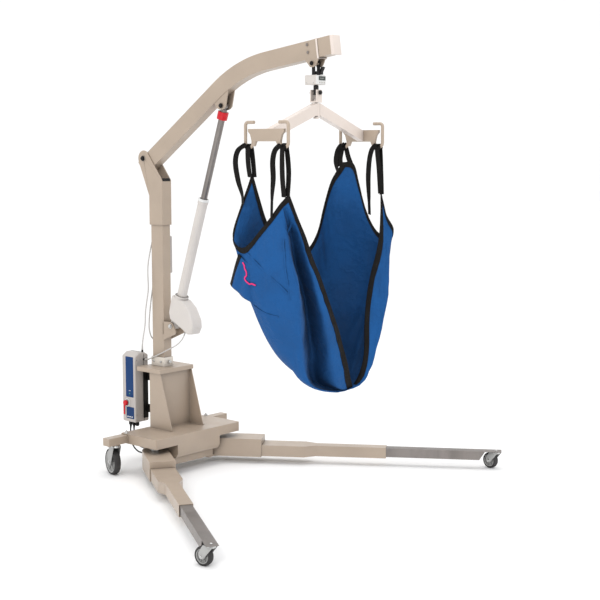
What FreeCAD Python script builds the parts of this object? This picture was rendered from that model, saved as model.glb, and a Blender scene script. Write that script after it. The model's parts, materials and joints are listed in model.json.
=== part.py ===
"""Patient lift hoist: a wheeled base with two spreading legs, a mast, an electric boom and a four-point sling.

Lengths are in millimetres. +X is forward, where the boom points, +Y is the hoist's left and +Z is up.
The model is built about the mast's axis at floor level, and save_all() moves it so that the origin is
the bottom centre of the whole hoist.
"""
import FreeCAD, Part
import math
import os

V = FreeCAD.Vector
os.makedirs("parts", exist_ok=True)

# Base and pedestal
BASE_BACK, BASE_FRONT = 5.0, 252.0
BASE_HALF = 275.0
BASE_LOW, BASE_TOP = 147.0, 192.0
HOUSING_HALF = 138.0
HOUSING_LOW = 84.0
CAP_LOW, CAP_TOP = 462.0, 482.0
GUSSET_HALF = 104.0
SHEET = 4.0

# Mast
MAST_X, MAST_Y = 80.0, 49.0
HEAD_X, HEAD_Y = 91.0, 60.0
HEAD_LOW = 1166.0
WALL = 3.0
FORK_GAP = 51.0
BOOM_PIVOT = V(-82, 0, 1482)
HEAD_ROUND = 38.0

# Boom
BOOM_Y, BOOM_DEPTH = 50.0, 78.0
BOOM_START_ANGLE, BOOM_END_ANGLE = 34.9, 7.8
BOOM_CORNER = V(548, 0, 1887)
BOOM_BEND = 682.0
BOOM_SEAM_X, BOOM_END_X = 1012.0, 1092.0

# Lift actuator
ACT_LOW = V(94, 0, 684)
ACT_TOP = V(440, 0, 1722)
TUBE_R, ROD_R = 23.0, 15.0
TUBE_FROM, TUBE_TO = 150.0, 646.0
ROD_FROM, ROD_TO = 560.0, 1078.0
COLLAR_FROM, COLLAR_TO = 1030.0, 1066.0
MOTOR_EXIT = V(166, 0, 668)

# Hanger, spreader and sling
HANG_X = 984.0
HANG_PIN_Z = 1888.0
SCALE_LOW, SCALE_TOP = 1798.0, 1839.0
SCALE_HALF = 33.0
YOKE_PIN_Z = 1766.0
SWIVEL_Z = 1722.0
SPREAD_HALF = 309.0
CRADLE_HALF = 119.0
CRADLE_Z = 1586.0
HOOK_R = 7.0
HOOK_LOW_Z = 1538.0

# Legs, measured along each leg from its pivot
LEG_PIVOT = V(165, 205, 0)
LEG_SPREAD = 33.56
LEG_CLOSE = 33.0
STEM_AT = 1366.0
LEG_END = 1391.0
LEG_LOW, LEG_TOP = 34.0, 122.0
LEVER_R = 90.0

# Casters: wheel diameter, wheel width, trail, height of the plate that the fork swivels under
REAR_STEM = V(32, 331, 0)
REAR_CASTER = (125.0, 32.0, 36.0, 147.0)
FRONT_CASTER = (76.0, 28.0, 34.0, 86.0)
REAR_HEADING, FRONT_HEADING = 17.5, -6.0

# Fits
RUN = 0.06
GAP = 0.5

parts = {}
cords = {}


def box(x0, x1, y0, y1, z0, z1):
    return Part.makeBox(x1 - x0, y1 - y0, z1 - z0, V(x0, y0, z0))


def bar(start, end, radius):
    along = end - start
    return Part.makeCylinder(radius, along.Length, start, along)


def ring(start, end, outer, inner):
    return bar(start, end, outer).cut(bar(start, end, inner))


def pin_y(x, z, half, radius):
    return bar(V(x, -half, z), V(x, half, z), radius)


def face_of(points):
    return Part.Face(Part.makePolygon(points + points[:1]))


def plate_xz(points, y0, y1):
    """A plate with the given outline in X and Z, from y0 to y1."""
    return face_of([V(x, y0, z) for x, z in points]).extrude(V(0, y1 - y0, 0))


def plate_xy(points, z0, z1):
    return face_of([V(x, y, z0) for x, y in points]).extrude(V(0, 0, z1 - z0))


def plate_yz(points, x0, x1):
    return face_of([V(x0, y, z) for y, z in points]).extrude(V(x1 - x0, 0, 0))


def hollow_x(x0, x1, width, z0, z1, wall):
    """A rectangular tube along X about the plane y = 0."""
    outer = box(x0, x1, -width / 2, width / 2, z0, z1)
    return outer.cut(box(x0 - 1, x1 + 1, wall - width / 2, width / 2 - wall, z0 + wall, z1 - wall))


def hollow_z(x, y, z0, z1, wall):
    """A rectangular tube along Z about the mast's axis, x by y outside."""
    outer = box(-x / 2, x / 2, -y / 2, y / 2, z0, z1)
    return outer.cut(box(wall - x / 2, x / 2 - wall, wall - y / 2, y / 2 - wall, z0 - 1, z1 + 1))


def turned(shape, centre, axis, degrees):
    copy = shape.copy()
    copy.rotate(centre, axis, degrees)
    return copy


def moved(shape, by):
    copy = shape.copy()
    copy.translate(by)
    return copy


def mirrored(shape):
    return shape.mirror(V(0, 0, 0), V(0, 1, 0))


def fused(shapes):
    return shapes[0].fuse(shapes[1:]).removeSplitter()


def rounded(shape, radius, chosen):
    """The shape with the edges that chosen(edge) accepts rounded."""
    return shape.makeFillet(radius, [e for e in shape.Edges if chosen(e)])


def runs_along(edge, axis):
    ends = edge.Vertexes
    if len(ends) < 2:
        return False
    along = ends[1].Point - ends[0].Point
    return abs(along.dot(axis)) > 0.999 * along.Length


def direction_xz(degrees):
    return V(math.cos(math.radians(degrees)), 0, math.sin(math.radians(degrees)))


def tangent_point(point, centre, radius, side):
    """Where a line from point touches the circle in the XZ plane, on its left (+1) or right (-1)."""
    along = centre - point
    lean = math.asin(radius / along.Length)
    angle = math.atan2(along.z, along.x) + side * (lean + math.pi / 2)
    return centre + V(math.cos(angle), 0, math.sin(angle)) * radius


# ---------------------------------------------------------------- base, pedestal and mast


def make_base():
    shell = box(BASE_BACK, BASE_FRONT, -BASE_HALF, BASE_HALF, BASE_LOW, BASE_TOP)
    shell = rounded(shell, 5, lambda e: runs_along(e, V(0, 0, 1)))
    inside = box(BASE_BACK + SHEET, BASE_FRONT - SHEET, SHEET - BASE_HALF, BASE_HALF - SHEET,
                 BASE_LOW + SHEET, BASE_TOP - SHEET)
    arm_y = BASE_HALF + 1
    sockets = box(9, 55, -arm_y, -120, BASE_LOW + SHEET, BASE_TOP - SHEET)
    shell = shell.cut(fused([inside, sockets]).fuse(mirrored(sockets)))
    for side in (-1, 1):
        pivot = V(LEG_PIVOT.x, side * LEG_PIVOT.y, BASE_LOW - 1)
        shell = shell.cut(bar(pivot, pivot + V(0, 0, SHEET + 2), 10))
    parts["base_box"] = shell

    arm = box(10, 54, -389, -120.5, BASE_LOW + SHEET + 0.5, BASE_TOP - SHEET - 0.5)
    arm = arm.cut(box(13, 51, -386, -123, BASE_LOW + SHEET + 3.5, BASE_TOP - SHEET - 3.5))
    stem = V(REAR_STEM.x, -REAR_STEM.y, BASE_LOW)
    arm = arm.fuse(bar(stem, stem + V(0, 0, SHEET + 0.5), 20))
    arm = arm.cut(bar(stem - V(0, 0, 1), stem + V(0, 0, 12), 8 + RUN))
    parts["rear_arms"] = Part.makeCompound([arm, mirrored(arm)])

    front = box(BASE_FRONT - SHEET, BASE_FRONT, -HOUSING_HALF, HOUSING_HALF, 104, BASE_LOW)
    lip = plate_xz([(BASE_FRONT - SHEET, 104), (BASE_FRONT, 104), (BASE_FRONT - 14, HOUSING_LOW),
                    (BASE_FRONT - 18, HOUSING_LOW)], -HOUSING_HALF, HOUSING_HALF)
    side = [(10, HOUSING_LOW), (BASE_FRONT - 16, HOUSING_LOW), (BASE_FRONT - 2, 104), (BASE_FRONT - 2, BASE_LOW),
            (10, BASE_LOW)]
    sides = [plate_xz(side, y, y + SHEET) for y in (-HOUSING_HALF, HOUSING_HALF - SHEET)]
    back = box(8, 12, -HOUSING_HALF, HOUSING_HALF, HOUSING_LOW, BASE_LOW)
    parts["lower_housing"] = fused([front, lip, back] + sides)

    bolts = []
    for side in (-1, 1):
        x, y = LEG_PIVOT.x, side * LEG_PIVOT.y
        shank = bar(V(x, y, 22), V(x, y, BASE_LOW + SHEET + 8), 10)
        head = bar(V(x, y, 22), V(x, y, 30), 17)
        washer = bar(V(x, y, 30), V(x, y, LEG_LOW - GAP), 22)
        spacer = bar(V(x, y, LEG_TOP + GAP), V(x, y, BASE_LOW), 24)
        nut = bar(V(x, y, BASE_LOW + SHEET), V(x, y, BASE_LOW + SHEET + 10), 15)
        bolts.append(fused([shank, head, washer, spacer, nut]))
    parts["leg_pivot_bolts"] = Part.makeCompound(bolts)


def make_pedestal():
    top_front, low_front = 92.0, 176.0
    under_cap = CAP_TOP - SHEET
    wing = [(22, BASE_TOP), (low_front, BASE_TOP), (top_front, under_cap), (22, under_cap)]
    sides = [plate_xz(wing, y, y + SHEET) for y in (-GUSSET_HALF, GUSSET_HALF - SHEET)]
    front = box(80, 80 + SHEET, SHEET - GUSSET_HALF, GUSSET_HALF - SHEET, BASE_TOP, under_cap)
    cap = box(-62, 102, -112, 112, CAP_LOW, CAP_TOP)
    cap = rounded(cap, 4, lambda e: runs_along(e, V(0, 0, 1)))
    cap = cap.cut(box(-59, 99, -109, 109, CAP_LOW - 1, under_cap))
    hole = box(-MAST_X / 2, MAST_X / 2, -MAST_Y / 2, MAST_Y / 2, CAP_LOW, CAP_TOP + 1)
    parts["pedestal"] = fused(sides + [front, cap.cut(hole)])


def make_mast():
    parts["mast_lower"] = hollow_z(MAST_X, MAST_Y, BASE_TOP, HEAD_LOW + 70, WALL)
    collar = box(-MAST_X / 2 - 7, MAST_X / 2 + 7, -MAST_Y / 2 - 7, MAST_Y / 2 + 7, CAP_TOP, CAP_TOP + 44)
    collar = rounded(collar, 6, lambda e: runs_along(e, V(0, 0, 1)))
    collar = collar.cut(box(-MAST_X / 2, MAST_X / 2, -MAST_Y / 2, MAST_Y / 2, CAP_TOP - 1, CAP_TOP + 45))
    parts["mast_collar"] = collar

    screws = []
    y = -MAST_Y / 2 - 7
    for x, z in ((-26, CAP_TOP + 22), (26, CAP_TOP + 22)):
        screws.append(bar(V(x, y, z), V(x, y - 5, z), 6))
    for end in (-1, 1):
        face = V(end * (MAST_X / 2 + 7), 0, CAP_TOP + 22)
        screws.append(bar(face, face + V(end * 6, 0, 0), 7))
    for side in (-1, 1):
        screws.append(bar(V(30, side * 262, BASE_TOP), V(30, side * 262, BASE_TOP + 9), 9))
        screws.append(bar(V(BASE_BACK, side * 258, 168), V(BASE_BACK - 10, side * 258, 168), 8))
    parts["frame_screws"] = Part.makeCompound(screws)

    front_low = V(HEAD_X / 2, 0, 1380)
    back_low = V(-HEAD_X / 2, 0, 1304)
    front_touch = tangent_point(front_low, BOOM_PIVOT, HEAD_ROUND, -1)
    back_touch = tangent_point(back_low, BOOM_PIVOT, HEAD_ROUND, 1)
    outline = [(-HEAD_X / 2, HEAD_LOW), (HEAD_X / 2, HEAD_LOW), (front_low.x, front_low.z),
               (front_touch.x, front_touch.z), (BOOM_PIVOT.x, BOOM_PIVOT.z),
               (back_touch.x, back_touch.z), (back_low.x, back_low.z)]
    solid = fused([plate_xz(outline, -HEAD_Y / 2, HEAD_Y / 2),
                   pin_y(BOOM_PIVOT.x, BOOM_PIVOT.z, HEAD_Y / 2, HEAD_ROUND)])
    inner = MAST_X / 2
    fork = [(-inner, HEAD_LOW - 1), (inner, HEAD_LOW - 1), (inner, 1374), (inner + 90, 1374), (inner + 90, 1640),
            (-300, 1640), (-300, 1306), (-inner, 1306)]
    solid = solid.cut(plate_xz(fork, -FORK_GAP / 2, FORK_GAP / 2))
    solid = solid.cut(pin_y(BOOM_PIVOT.x, BOOM_PIVOT.z, HEAD_Y, 10))
    parts["mast_head"] = solid

    buffer = box(18, HEAD_X / 2 - 0.5, 2 - FORK_GAP / 2, FORK_GAP / 2 - 2, 1374, 1388)
    stalk = box(16, inner, 2 - FORK_GAP / 2, FORK_GAP / 2 - 2, 1350, 1374)
    parts["head_buffer"] = fused([buffer, stalk])

    half = HEAD_Y / 2
    pin = fused([pin_y(BOOM_PIVOT.x, BOOM_PIVOT.z, half + 3, 10),
                 bar(BOOM_PIVOT + V(0, half, 0), BOOM_PIVOT + V(0, half + 5, 0), 13),
                 bar(BOOM_PIVOT - V(0, half, 0), BOOM_PIVOT - V(0, half + 5, 0), 13)])
    parts["boom_pivot_pin"] = pin

    face = MAST_X / 2
    low, reach = ACT_LOW, 20.0
    cheek = [(face, 702), (low.x - 6, low.z + reach), (low.x + 12, low.z + 16), (low.x + 22, low.z),
             (low.x + 34, 662), (low.x + 30, 648), (face, 612)]
    cheeks = [plate_xz(cheek, y, y + 6) for y in (-30, 24)]
    back = box(face, face + 4, -24, 24, 612, 702)
    bracket = fused(cheeks + [back])
    parts["actuator_bracket"] = fused([bracket, pin_y(low.x, low.z, 24, 9), pin_y(low.x, low.z, 33, 7)])


# ---------------------------------------------------------------- boom and lift actuator


def boom_band(depth, x_from, x_to, y_half):
    """The boom's bent outline, from x_from on its rear straight to x_to on its front one, extruded across y."""
    first, second = direction_xz(BOOM_START_ANGLE), direction_xz(BOOM_END_ANGLE)
    turn = math.radians(BOOM_START_ANGLE - BOOM_END_ANGLE)
    reach = BOOM_BEND * math.tan(turn / 2)
    down_first = V(first.z, 0, -first.x)
    down_second = V(second.z, 0, -second.x)
    start = BOOM_CORNER + first * ((x_from - BOOM_CORNER.x) / first.x)
    bend_in = BOOM_CORNER - first * reach
    bend_out = BOOM_CORNER + second * reach
    end = BOOM_CORNER + second * ((x_to - BOOM_CORNER.x) / second.x)
    centre = bend_in + down_first * BOOM_BEND
    middle = direction_xz((BOOM_START_ANGLE + BOOM_END_ANGLE) / 2 + 90)

    def side(offset):
        a = start - down_first * offset
        b = bend_in - down_first * offset
        c = centre + middle * (BOOM_BEND + offset)
        d = bend_out - down_second * offset
        e = end - down_second * offset
        return a, b, c, d, e

    top, low = side(depth / 2), side(-depth / 2)
    edges = [Part.makeLine(top[0], top[1]), Part.Arc(*top[1:4]).toShape(), Part.makeLine(top[3], top[4]),
             Part.makeLine(top[4], low[4]), Part.makeLine(low[4], low[3]),
             Part.Arc(low[3], low[2], low[1]).toShape(), Part.makeLine(low[1], low[0]),
             Part.makeLine(low[0], top[0])]
    face = Part.Face(Part.Wire(edges))
    face.translate(V(0, -y_half, 0))
    return face.extrude(V(0, 2 * y_half, 0))


def boom_front(depth, x_from, x_to, y_half):
    """A square length of the boom's front straight."""
    along = direction_xz(BOOM_END_ANGLE)
    up = V(-along.z, 0, along.x) * (depth / 2)
    near, far = [BOOM_CORNER + along * ((x - BOOM_CORNER.x) / along.x) for x in (x_from, x_to)]
    return plate_xz([(p.x, p.z) for p in (near - up, far - up, far + up, near + up)], -y_half, y_half)


def boom_low_z(x):
    """The height of the boom's underside on its rear straight stretch."""
    first = direction_xz(BOOM_START_ANGLE)
    slope = first.z / first.x
    return BOOM_CORNER.z + (x - BOOM_CORNER.x) * slope - BOOM_DEPTH / 2 / first.x


def make_boom():
    half, bore = BOOM_Y / 2, BOOM_DEPTH - 2 * WALL
    outer = boom_band(BOOM_DEPTH, -104, BOOM_SEAM_X, half)
    inner = boom_band(bore, -98, BOOM_SEAM_X + 40, half - WALL)
    boss = pin_y(BOOM_PIVOT.x, BOOM_PIVOT.z, half, 20)
    tube = outer.cut(inner).fuse(boss).common(outer)
    tube = tube.cut(pin_y(BOOM_PIVOT.x, BOOM_PIVOT.z, HEAD_Y, 10 + RUN))
    parts["boom_tube"] = tube.removeSplitter()

    seam = BOOM_SEAM_X + 2
    end = boom_front(BOOM_DEPTH, seam, BOOM_END_X, half)
    end = end.cut(boom_front(bore, seam + 4, BOOM_END_X - 4, half - WALL))
    spigot = boom_front(bore - 1, 940, seam + 2, half - WALL - 0.5)
    spigot = spigot.cut(boom_front(bore - 2 * WALL, 930, seam, half - 2 * WALL))
    screws = []
    for x, z in ((956, 1966), (961, 1934)):
        for side in (-1, 1):
            screws.append(bar(V(x, side * (half - WALL), z), V(x, side * (half + 3), z), 6))
    parts["boom_end"] = fused([end, spigot] + screws)
    for screw in screws:
        parts["boom_tube"] = parts["boom_tube"].cut(screw)

    x, z = ACT_TOP.x, ACT_TOP.z
    ear = [(x - 44, boom_low_z(x - 44) + 1), (x - 30, z - 10), (x - 14, z - 17), (x, z - 19), (x + 14, z - 15),
           (x + 26, z - 4), (x + 44, boom_low_z(x + 44) + 1)]
    ears = []
    for side in (-1, 1):
        plate = plate_xz(ear, min(side * 18, side * 23), max(side * 18, side * 23))
        ears.append(fused([plate, bar(V(x, side * 18, z), V(x, side * 27, z), 8)]))
    parts["lift_bracket"] = Part.makeCompound(ears).cut(outer)

    cheek = [(936, 1910), (1024, 1922), (HANG_X + 20, 1880), (HANG_X + 8, 1872), (HANG_X - 12, 1872), (950, 1896)]
    under = boom_band(BOOM_DEPTH, -104, BOOM_END_X, half)
    plates = [plate_xz(cheek, y, y + 5).cut(under) for y in (-25, 20)]
    parts["hanger_bracket"] = fused(plates + [pin_y(HANG_X, HANG_PIN_Z, 30, 6)])


def actuator_frame(shape):
    """Puts a shape that was built along +Z from the origin onto the actuator's line."""
    along = ACT_TOP - ACT_LOW
    lean = math.degrees(math.atan2(along.x, along.z))
    return moved(turned(shape, V(0, 0, 0), V(0, 1, 0), lean), ACT_LOW)


def make_actuator():
    lug = plate_xz([(-12, -12), (12, -12), (15, 44), (-14, 40)], -21, 21)
    lug = fused([lug, pin_y(0, 0, 21, 16)]).cut(pin_y(0, 0, 30, 9 + RUN))
    body = plate_xz([(-14, 30), (28, 24), (78, 16), (116, 8), (140, 18), (146, 52), (132, 84), (84, 128),
                     (38, 146), (-36, 146), (-36, 110), (-32, 60)], -34, 34)
    body = rounded(body, 11, lambda e: not runs_along(e, V(0, 1, 0)) and abs(e.CenterOfMass.y) > 30)
    neck = bar(V(0, 0, 120), V(0, 0, TUBE_FROM + 8), 32)
    housing = fused([lug, body, neck])
    bore = bar(V(0, 0, 100), V(0, 0, TUBE_FROM + 9), TUBE_R)
    clear = pin_y(0, 0, 60, 25).cut(pin_y(0, 0, 21.5, 26))
    gland = bar(MOTOR_EXIT, MOTOR_EXIT + V(5, 5, 27), 5)
    parts["actuator_housing"] = fused([actuator_frame(housing.cut(bore).cut(clear)), gland])
    tube = ring(V(0, 0, 100), V(0, 0, TUBE_TO), TUBE_R, ROD_R + 4.5)
    guide = ring(V(0, 0, TUBE_TO - 24), V(0, 0, TUBE_TO), TUBE_R + 2, ROD_R + 0.4)
    parts["actuator_tube"] = actuator_frame(fused([tube, guide]))

    top = (ACT_TOP - ACT_LOW).Length
    shaft = bar(V(0, 0, ROD_FROM), V(0, 0, ROD_TO), ROD_R)
    neck = bar(V(0, 0, ROD_TO), V(0, 0, top), 10)
    eye = moved(pin_y(0, 0, 13, 12), V(0, 0, top))
    parts["actuator_rod"] = actuator_frame(fused([shaft, neck, eye]))
    collar = ring(V(0, 0, COLLAR_FROM), V(0, 0, COLLAR_TO), 24, ROD_R + 0.5)
    parts["lowering_collar"] = actuator_frame(collar)


# ---------------------------------------------------------------- hanger, spreader and sling


def make_hanger():
    x, pin_z = HANG_X, HANG_PIN_Z
    legs = [box(x - 8, x + 8, y, y + 4, SCALE_TOP - 4, pin_z + 12) for y in (-18, 14)]
    holes = pin_y(x, pin_z, 60, 6 + RUN)
    foot = box(x - 8, x + 8, -18, 18, SCALE_TOP - 8, SCALE_TOP - 4)
    core = bar(V(x, 0, SCALE_LOW - 4), V(x, 0, SCALE_TOP - 4), 8)
    link = fused([box(x - 5, x + 5, -11, 11, YOKE_PIN_Z - 10, SCALE_LOW - 2),
                  bar(V(x - 5, 0, YOKE_PIN_Z), V(x + 5, 0, YOKE_PIN_Z), 11)])
    turn_x, turn_z = x + 24, 1848.0
    seat = [box(x + 4, turn_x + 4, y, y + 5, turn_z - 7, turn_z + 7) for y in (-14, 9)]
    axle = bar(V(turn_x, -12, turn_z), V(turn_x, 12, turn_z), 3)
    strap = fused(legs + [foot, core, link, axle] + seat).cut(holes)
    parts["hanger_strap"] = strap.cut(bar(V(x - 30, 0, YOKE_PIN_Z), V(x + 30, 0, YOKE_PIN_Z), 5 + RUN))

    case = box(x - SCALE_HALF - 3, x + SCALE_HALF - 6, -SCALE_HALF, SCALE_HALF, SCALE_LOW, SCALE_TOP)
    case = rounded(case, 4, lambda e: True)
    hollow = fused([bar(V(x, 0, SCALE_LOW - 1), V(x, 0, SCALE_TOP + 1), 8),
                    box(x - 8, x + 8, -18, 18, SCALE_TOP - 8, SCALE_TOP + 1)])
    parts["scale_housing"] = case.cut(hollow)

    tab = plate_xz([(turn_x - 5, turn_z + 2), (turn_x + 5, turn_z - 4), (turn_x + 21, turn_z + 22),
                    (turn_x + 13, turn_z + 26)], -8, 8)
    hub = bar(V(turn_x, -8, turn_z), V(turn_x, 8, turn_z), 7)
    eye = bar(V(turn_x, -12, turn_z), V(turn_x, 12, turn_z), 3 + RUN)
    parts["release_lever"] = fused([tab, hub]).cut(eye)

    plates = [box(x + s, x + s + 5, -17, 17, 1724, YOKE_PIN_Z + 12) for s in (-19, 14)]
    floor = box(x - 19, x + 19, -17, 17, 1724, 1731)
    yoke = fused(plates + [floor, bar(V(x - 22, 0, YOKE_PIN_Z), V(x + 22, 0, YOKE_PIN_Z), 5)])
    bolt = bar(V(x, 0, 1731), V(x, 0, 1737), 9)
    shank = bar(V(x, 0, 1664), V(x, 0, 1731), 7)
    head = bar(V(x, 0, 1656), V(x, 0, 1664), 11)
    parts["spreader_yoke"] = fused([yoke, bolt, shank, head])


def cradle():
    """One cradle about x = 0: a web plate whose two ends turn down into C-shaped sling hooks."""
    half, z = CRADLE_HALF, CRADLE_Z
    web = [(-100, z + 14), (-100, z + 25), (100, z + 25), (100, z + 14), (88, z + 2), (80, z - 24), (80, z - 44),
           (66, z - 46), (56, z - 26), (-56, z - 26), (-66, z - 46), (-80, z - 44), (-80, z - 24), (-88, z + 2)]
    plate = plate_xz(web, -6, 6)
    hooks = []
    top = z + 52
    for end in (-1, 1):
        low_in, low_out = end * 76, end * half
        rise, run = 18.0, abs(low_out - low_in) / 2
        middle = (low_in + low_out) / 2
        bowl = Part.Arc(V(low_in, 0, HOOK_LOW_Z + rise), V(middle, 0, HOOK_LOW_Z + rise - run),
                        V(low_out, 0, HOOK_LOW_Z + rise)).toShape()
        bend = 14.0
        stand = Part.makeLine(V(low_out, 0, HOOK_LOW_Z + rise), V(low_out, 0, top - bend))
        turn = Part.Arc(V(low_out, 0, top - bend), V(low_out - end * bend * 0.293, 0, top - bend * 0.293),
                        V(low_out - end * bend, 0, top)).toShape()
        arm = Part.makeLine(V(low_out - end * bend, 0, top), V(end * 70, 0, top))
        path = Part.Wire([bowl, stand, turn, arm])
        profile = Part.Wire(Part.makeCircle(HOOK_R, V(low_in, 0, HOOK_LOW_Z + rise), V(0, 0, 1)))
        rod = path.makePipeShell([profile], True, False)
        hooks.append(rod)
    return fused([plate] + hooks)


def make_spreader():
    x = HANG_X
    hub = ring(V(x, 0, 1668), V(x, 0, SWIVEL_Z), 17, 7 + RUN)
    end_z = CRADLE_Z
    arm = plate_yz([(8, SWIVEL_Z), (8, 1672), (SPREAD_HALF - 6, end_z - 24), (SPREAD_HALF - 6, end_z + 22)],
                   x - 16, x + 16)
    tip = SPREAD_HALF - 10
    hollow = plate_yz([(20, SWIVEL_Z - 9), (20, 1679), (tip, end_z - 19), (tip, end_z + 15)],
                      x - 13, x + 13)
    arm = arm.cut(hollow).cut(bar(V(x, 0, 1600), V(x, 0, 1800), 16.9))
    parts["spreader_arms"] = fused([hub, arm, mirrored(arm)])
    near = moved(cradle(), V(x, -SPREAD_HALF, 0))
    far = moved(cradle(), V(x, SPREAD_HALF, 0))
    parts["cradle_right"] = near
    parts["cradle_left"] = far


def sling_section(x, half, top_z, low_z):
    """A closed outline across the sling at x: a hanging V with a rounded bottom and thin walls."""
    skin = 9.0
    shape = [(1.0, 1.0), (1.08, 0.72), (0.86, 0.42), (0.52, 0.16), (0.2, 0.02)]
    height = top_z - low_z
    outer = [(half * a, low_z + height * b) for a, b in shape]
    inner = [(half * a - skin, low_z + height * b + skin * (1 - b)) for a, b in shape]
    loop = outer + [(-y, z) for y, z in reversed(outer)]
    loop += [(-y, z) for y, z in inner] + list(reversed(inner))
    return Part.makePolygon([V(x, y, z) for y, z in loop + loop[:1]])


def make_sling():
    x = HANG_X
    stations = ((-185, 262, 1120, 760), (-95, 296, 1425, 600), (0, 285, 1150, 470),
                (95, 296, 1333, 450), (170, 240, 1030, 500))
    sections = [sling_section(x + dx, half, top, low) for dx, half, top, low in stations]
    parts["sling"] = Part.makeLoft(sections, True, True)

    straps = []
    hung = HOOK_LOW_Z + HOOK_R
    for dx, half, peak, low in (stations[1], stations[3]):
        for side in (-1, 1):
            at = side * SPREAD_HALF
            sewn = side * (half - 4.5)
            over = box(x + dx - 13, x + dx + 13, at - 10, at + 10, hung + 4, hung + 6)
            webs = []
            for offset in (-1, 1):
                outline = [(at + offset * 8, hung + 6), (at + offset * 10, hung + 6), (sewn + offset * 4, peak),
                           (sewn + offset * 2, peak)]
                webs.append(plate_yz(outline, x + dx - 13, x + dx + 13))
            strap = fused([over] + webs)
            straps.append(strap.cut(parts["cradle_left"]).cut(parts["cradle_right"]))
    parts["sling_straps"] = Part.makeCompound(straps)


# ---------------------------------------------------------------- legs and their drive


def place_leg(shape):
    """Turns a leg built along +X from its pivot to the left leg's rest place."""
    return moved(turned(shape, V(0, 0, 0), V(0, 0, 1), LEG_SPREAD), LEG_PIVOT)


def make_legs():
    low, top = LEG_LOW, LEG_TOP
    outline = plate_xy([(0, -60), (232, -60), (232, 60), (0, 60)], low, top)
    block = fused([outline, bar(V(0, 0, low), V(0, 0, top), 60)])
    core = plate_xy([(0, -56), (233, -56), (233, 56), (0, 56)], low + SHEET, top - SHEET)
    core = core.fuse(bar(V(0, 0, low + SHEET), V(0, 0, top - SHEET), 56))
    bush = bar(V(0, 0, low), V(0, 0, top), 18)
    block = block.cut(core).fuse(bush)
    closing = box(228, 232, -56, 56, 93, top - SHEET)
    block = block.fuse(closing).cut(bar(V(0, 0, low - 1), V(0, 0, top + 1), 10 + RUN)).removeSplitter()

    wide = hollow_x(180, 440, 111, 38, 92, WALL)
    wide = wide.cut(box(170, 190, -60, 60, 30, 100))
    taper_out = Part.makeLoft([rectangle_at(440, 111, 38, 92), rectangle_at(496, 60, 40, 92)], True, True)
    taper_in = Part.makeLoft([rectangle_at(440, 105, 41, 89), rectangle_at(496, 54, 43, 89)], True, True)
    narrow = hollow_x(496, 838, 60, 40, 92, WALL)
    tube = fused([wide, taper_out.cut(taper_in), narrow])

    steel = hollow_x(560, LEG_END, 50, 45.5, 89, WALL)
    steel = steel.fuse(box(LEG_END - 3, LEG_END, -25, 25, 45.5, 89))
    notch = plate_xz([(STEM_AT - 84, 40), (STEM_AT - 54, 86), (LEG_END + 1, 86), (LEG_END + 1, 40)], -30, 30)
    steel = steel.cut(notch)
    steel = steel.cut(bar(V(STEM_AT, 0, 80), V(STEM_AT, 0, 95), 6 + RUN)).removeSplitter()

    angle = math.radians(-LEG_SPREAD + LEG_CLOSE / 2 - 90)
    reach = V(math.cos(angle), math.sin(angle), 0)
    side = V(-reach.y, reach.x, 0)
    root, tip = reach * 54, reach * LEVER_R
    lever = plate_xy([(p.x, p.y) for p in (root - side * 20, root + side * 20, tip + side * 12, tip - side * 12)],
                     low, low + 8)
    lever = fused([lever, bar(V(tip.x, tip.y, low), V(tip.x, tip.y, low + 8), 14),
                   bar(V(tip.x, tip.y, low), V(tip.x, tip.y, 68), 7)])
    block = fused([block, lever.cut(bar(V(0, 0, low), V(0, 0, low + 8), 59))])

    for name, shape in (("leg_block", block), ("leg_tube", tube), ("leg_end", steel)):
        left = place_leg(shape)
        parts["left_" + name] = left
        parts["right_" + name] = mirrored(left)


def rectangle_at(x, width, z0, z1):
    y = width / 2
    return Part.makePolygon([V(x, -y, z0), V(x, y, z0), V(x, y, z1), V(x, -y, z1), V(x, -y, z0)])


def make_leg_drive():
    pin_x = LEG_PIVOT.x + LEVER_R * math.sin(math.radians(LEG_CLOSE / 2))
    pin_y_open = LEG_PIVOT.y - LEVER_R * math.cos(math.radians(LEG_CLOSE / 2))
    low, top = 44.0, 74.0
    half = pin_y_open + 15
    beam = plate_xy([(pin_x - 19, -half), (pin_x + 17, -half), (pin_x + 21, -60), (pin_x + 21, 60),
                     (pin_x + 17, half), (pin_x - 19, half)], low, top)
    for side in (-1, 1):
        a = side * (pin_y_open - 6)
        b = side * (pin_y_open + 3)
        slot = fused([bar(V(pin_x, a, low - 1), V(pin_x, a, top - 4), 7.8),
                      bar(V(pin_x, b, low - 1), V(pin_x, b, top - 4), 7.8),
                      box(pin_x - 7.8, pin_x + 7.8, min(a, b), max(a, b), low - 1, top - 4)])
        beam = beam.cut(slot)
    post = box(pin_x - 9, pin_x + 9, -16, 16, top, 128)
    rod = bar(V(86, 0, 114), V(pin_x - 8, 0, 114), 9)
    parts["leg_carriage"] = fused([beam, post, rod])
    motor = box(22, 62, -58, 26, 88, 142)
    motor = rounded(motor, 6, lambda e: runs_along(e, V(1, 0, 0)))
    sleeve = bar(V(62, 0, 114), V(112, 0, 114), 17)
    parts["leg_actuator"] = fused([motor, sleeve]).cut(bar(V(30, 0, 114), V(113, 0, 114), 9.5))


# ---------------------------------------------------------------- casters


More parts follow.
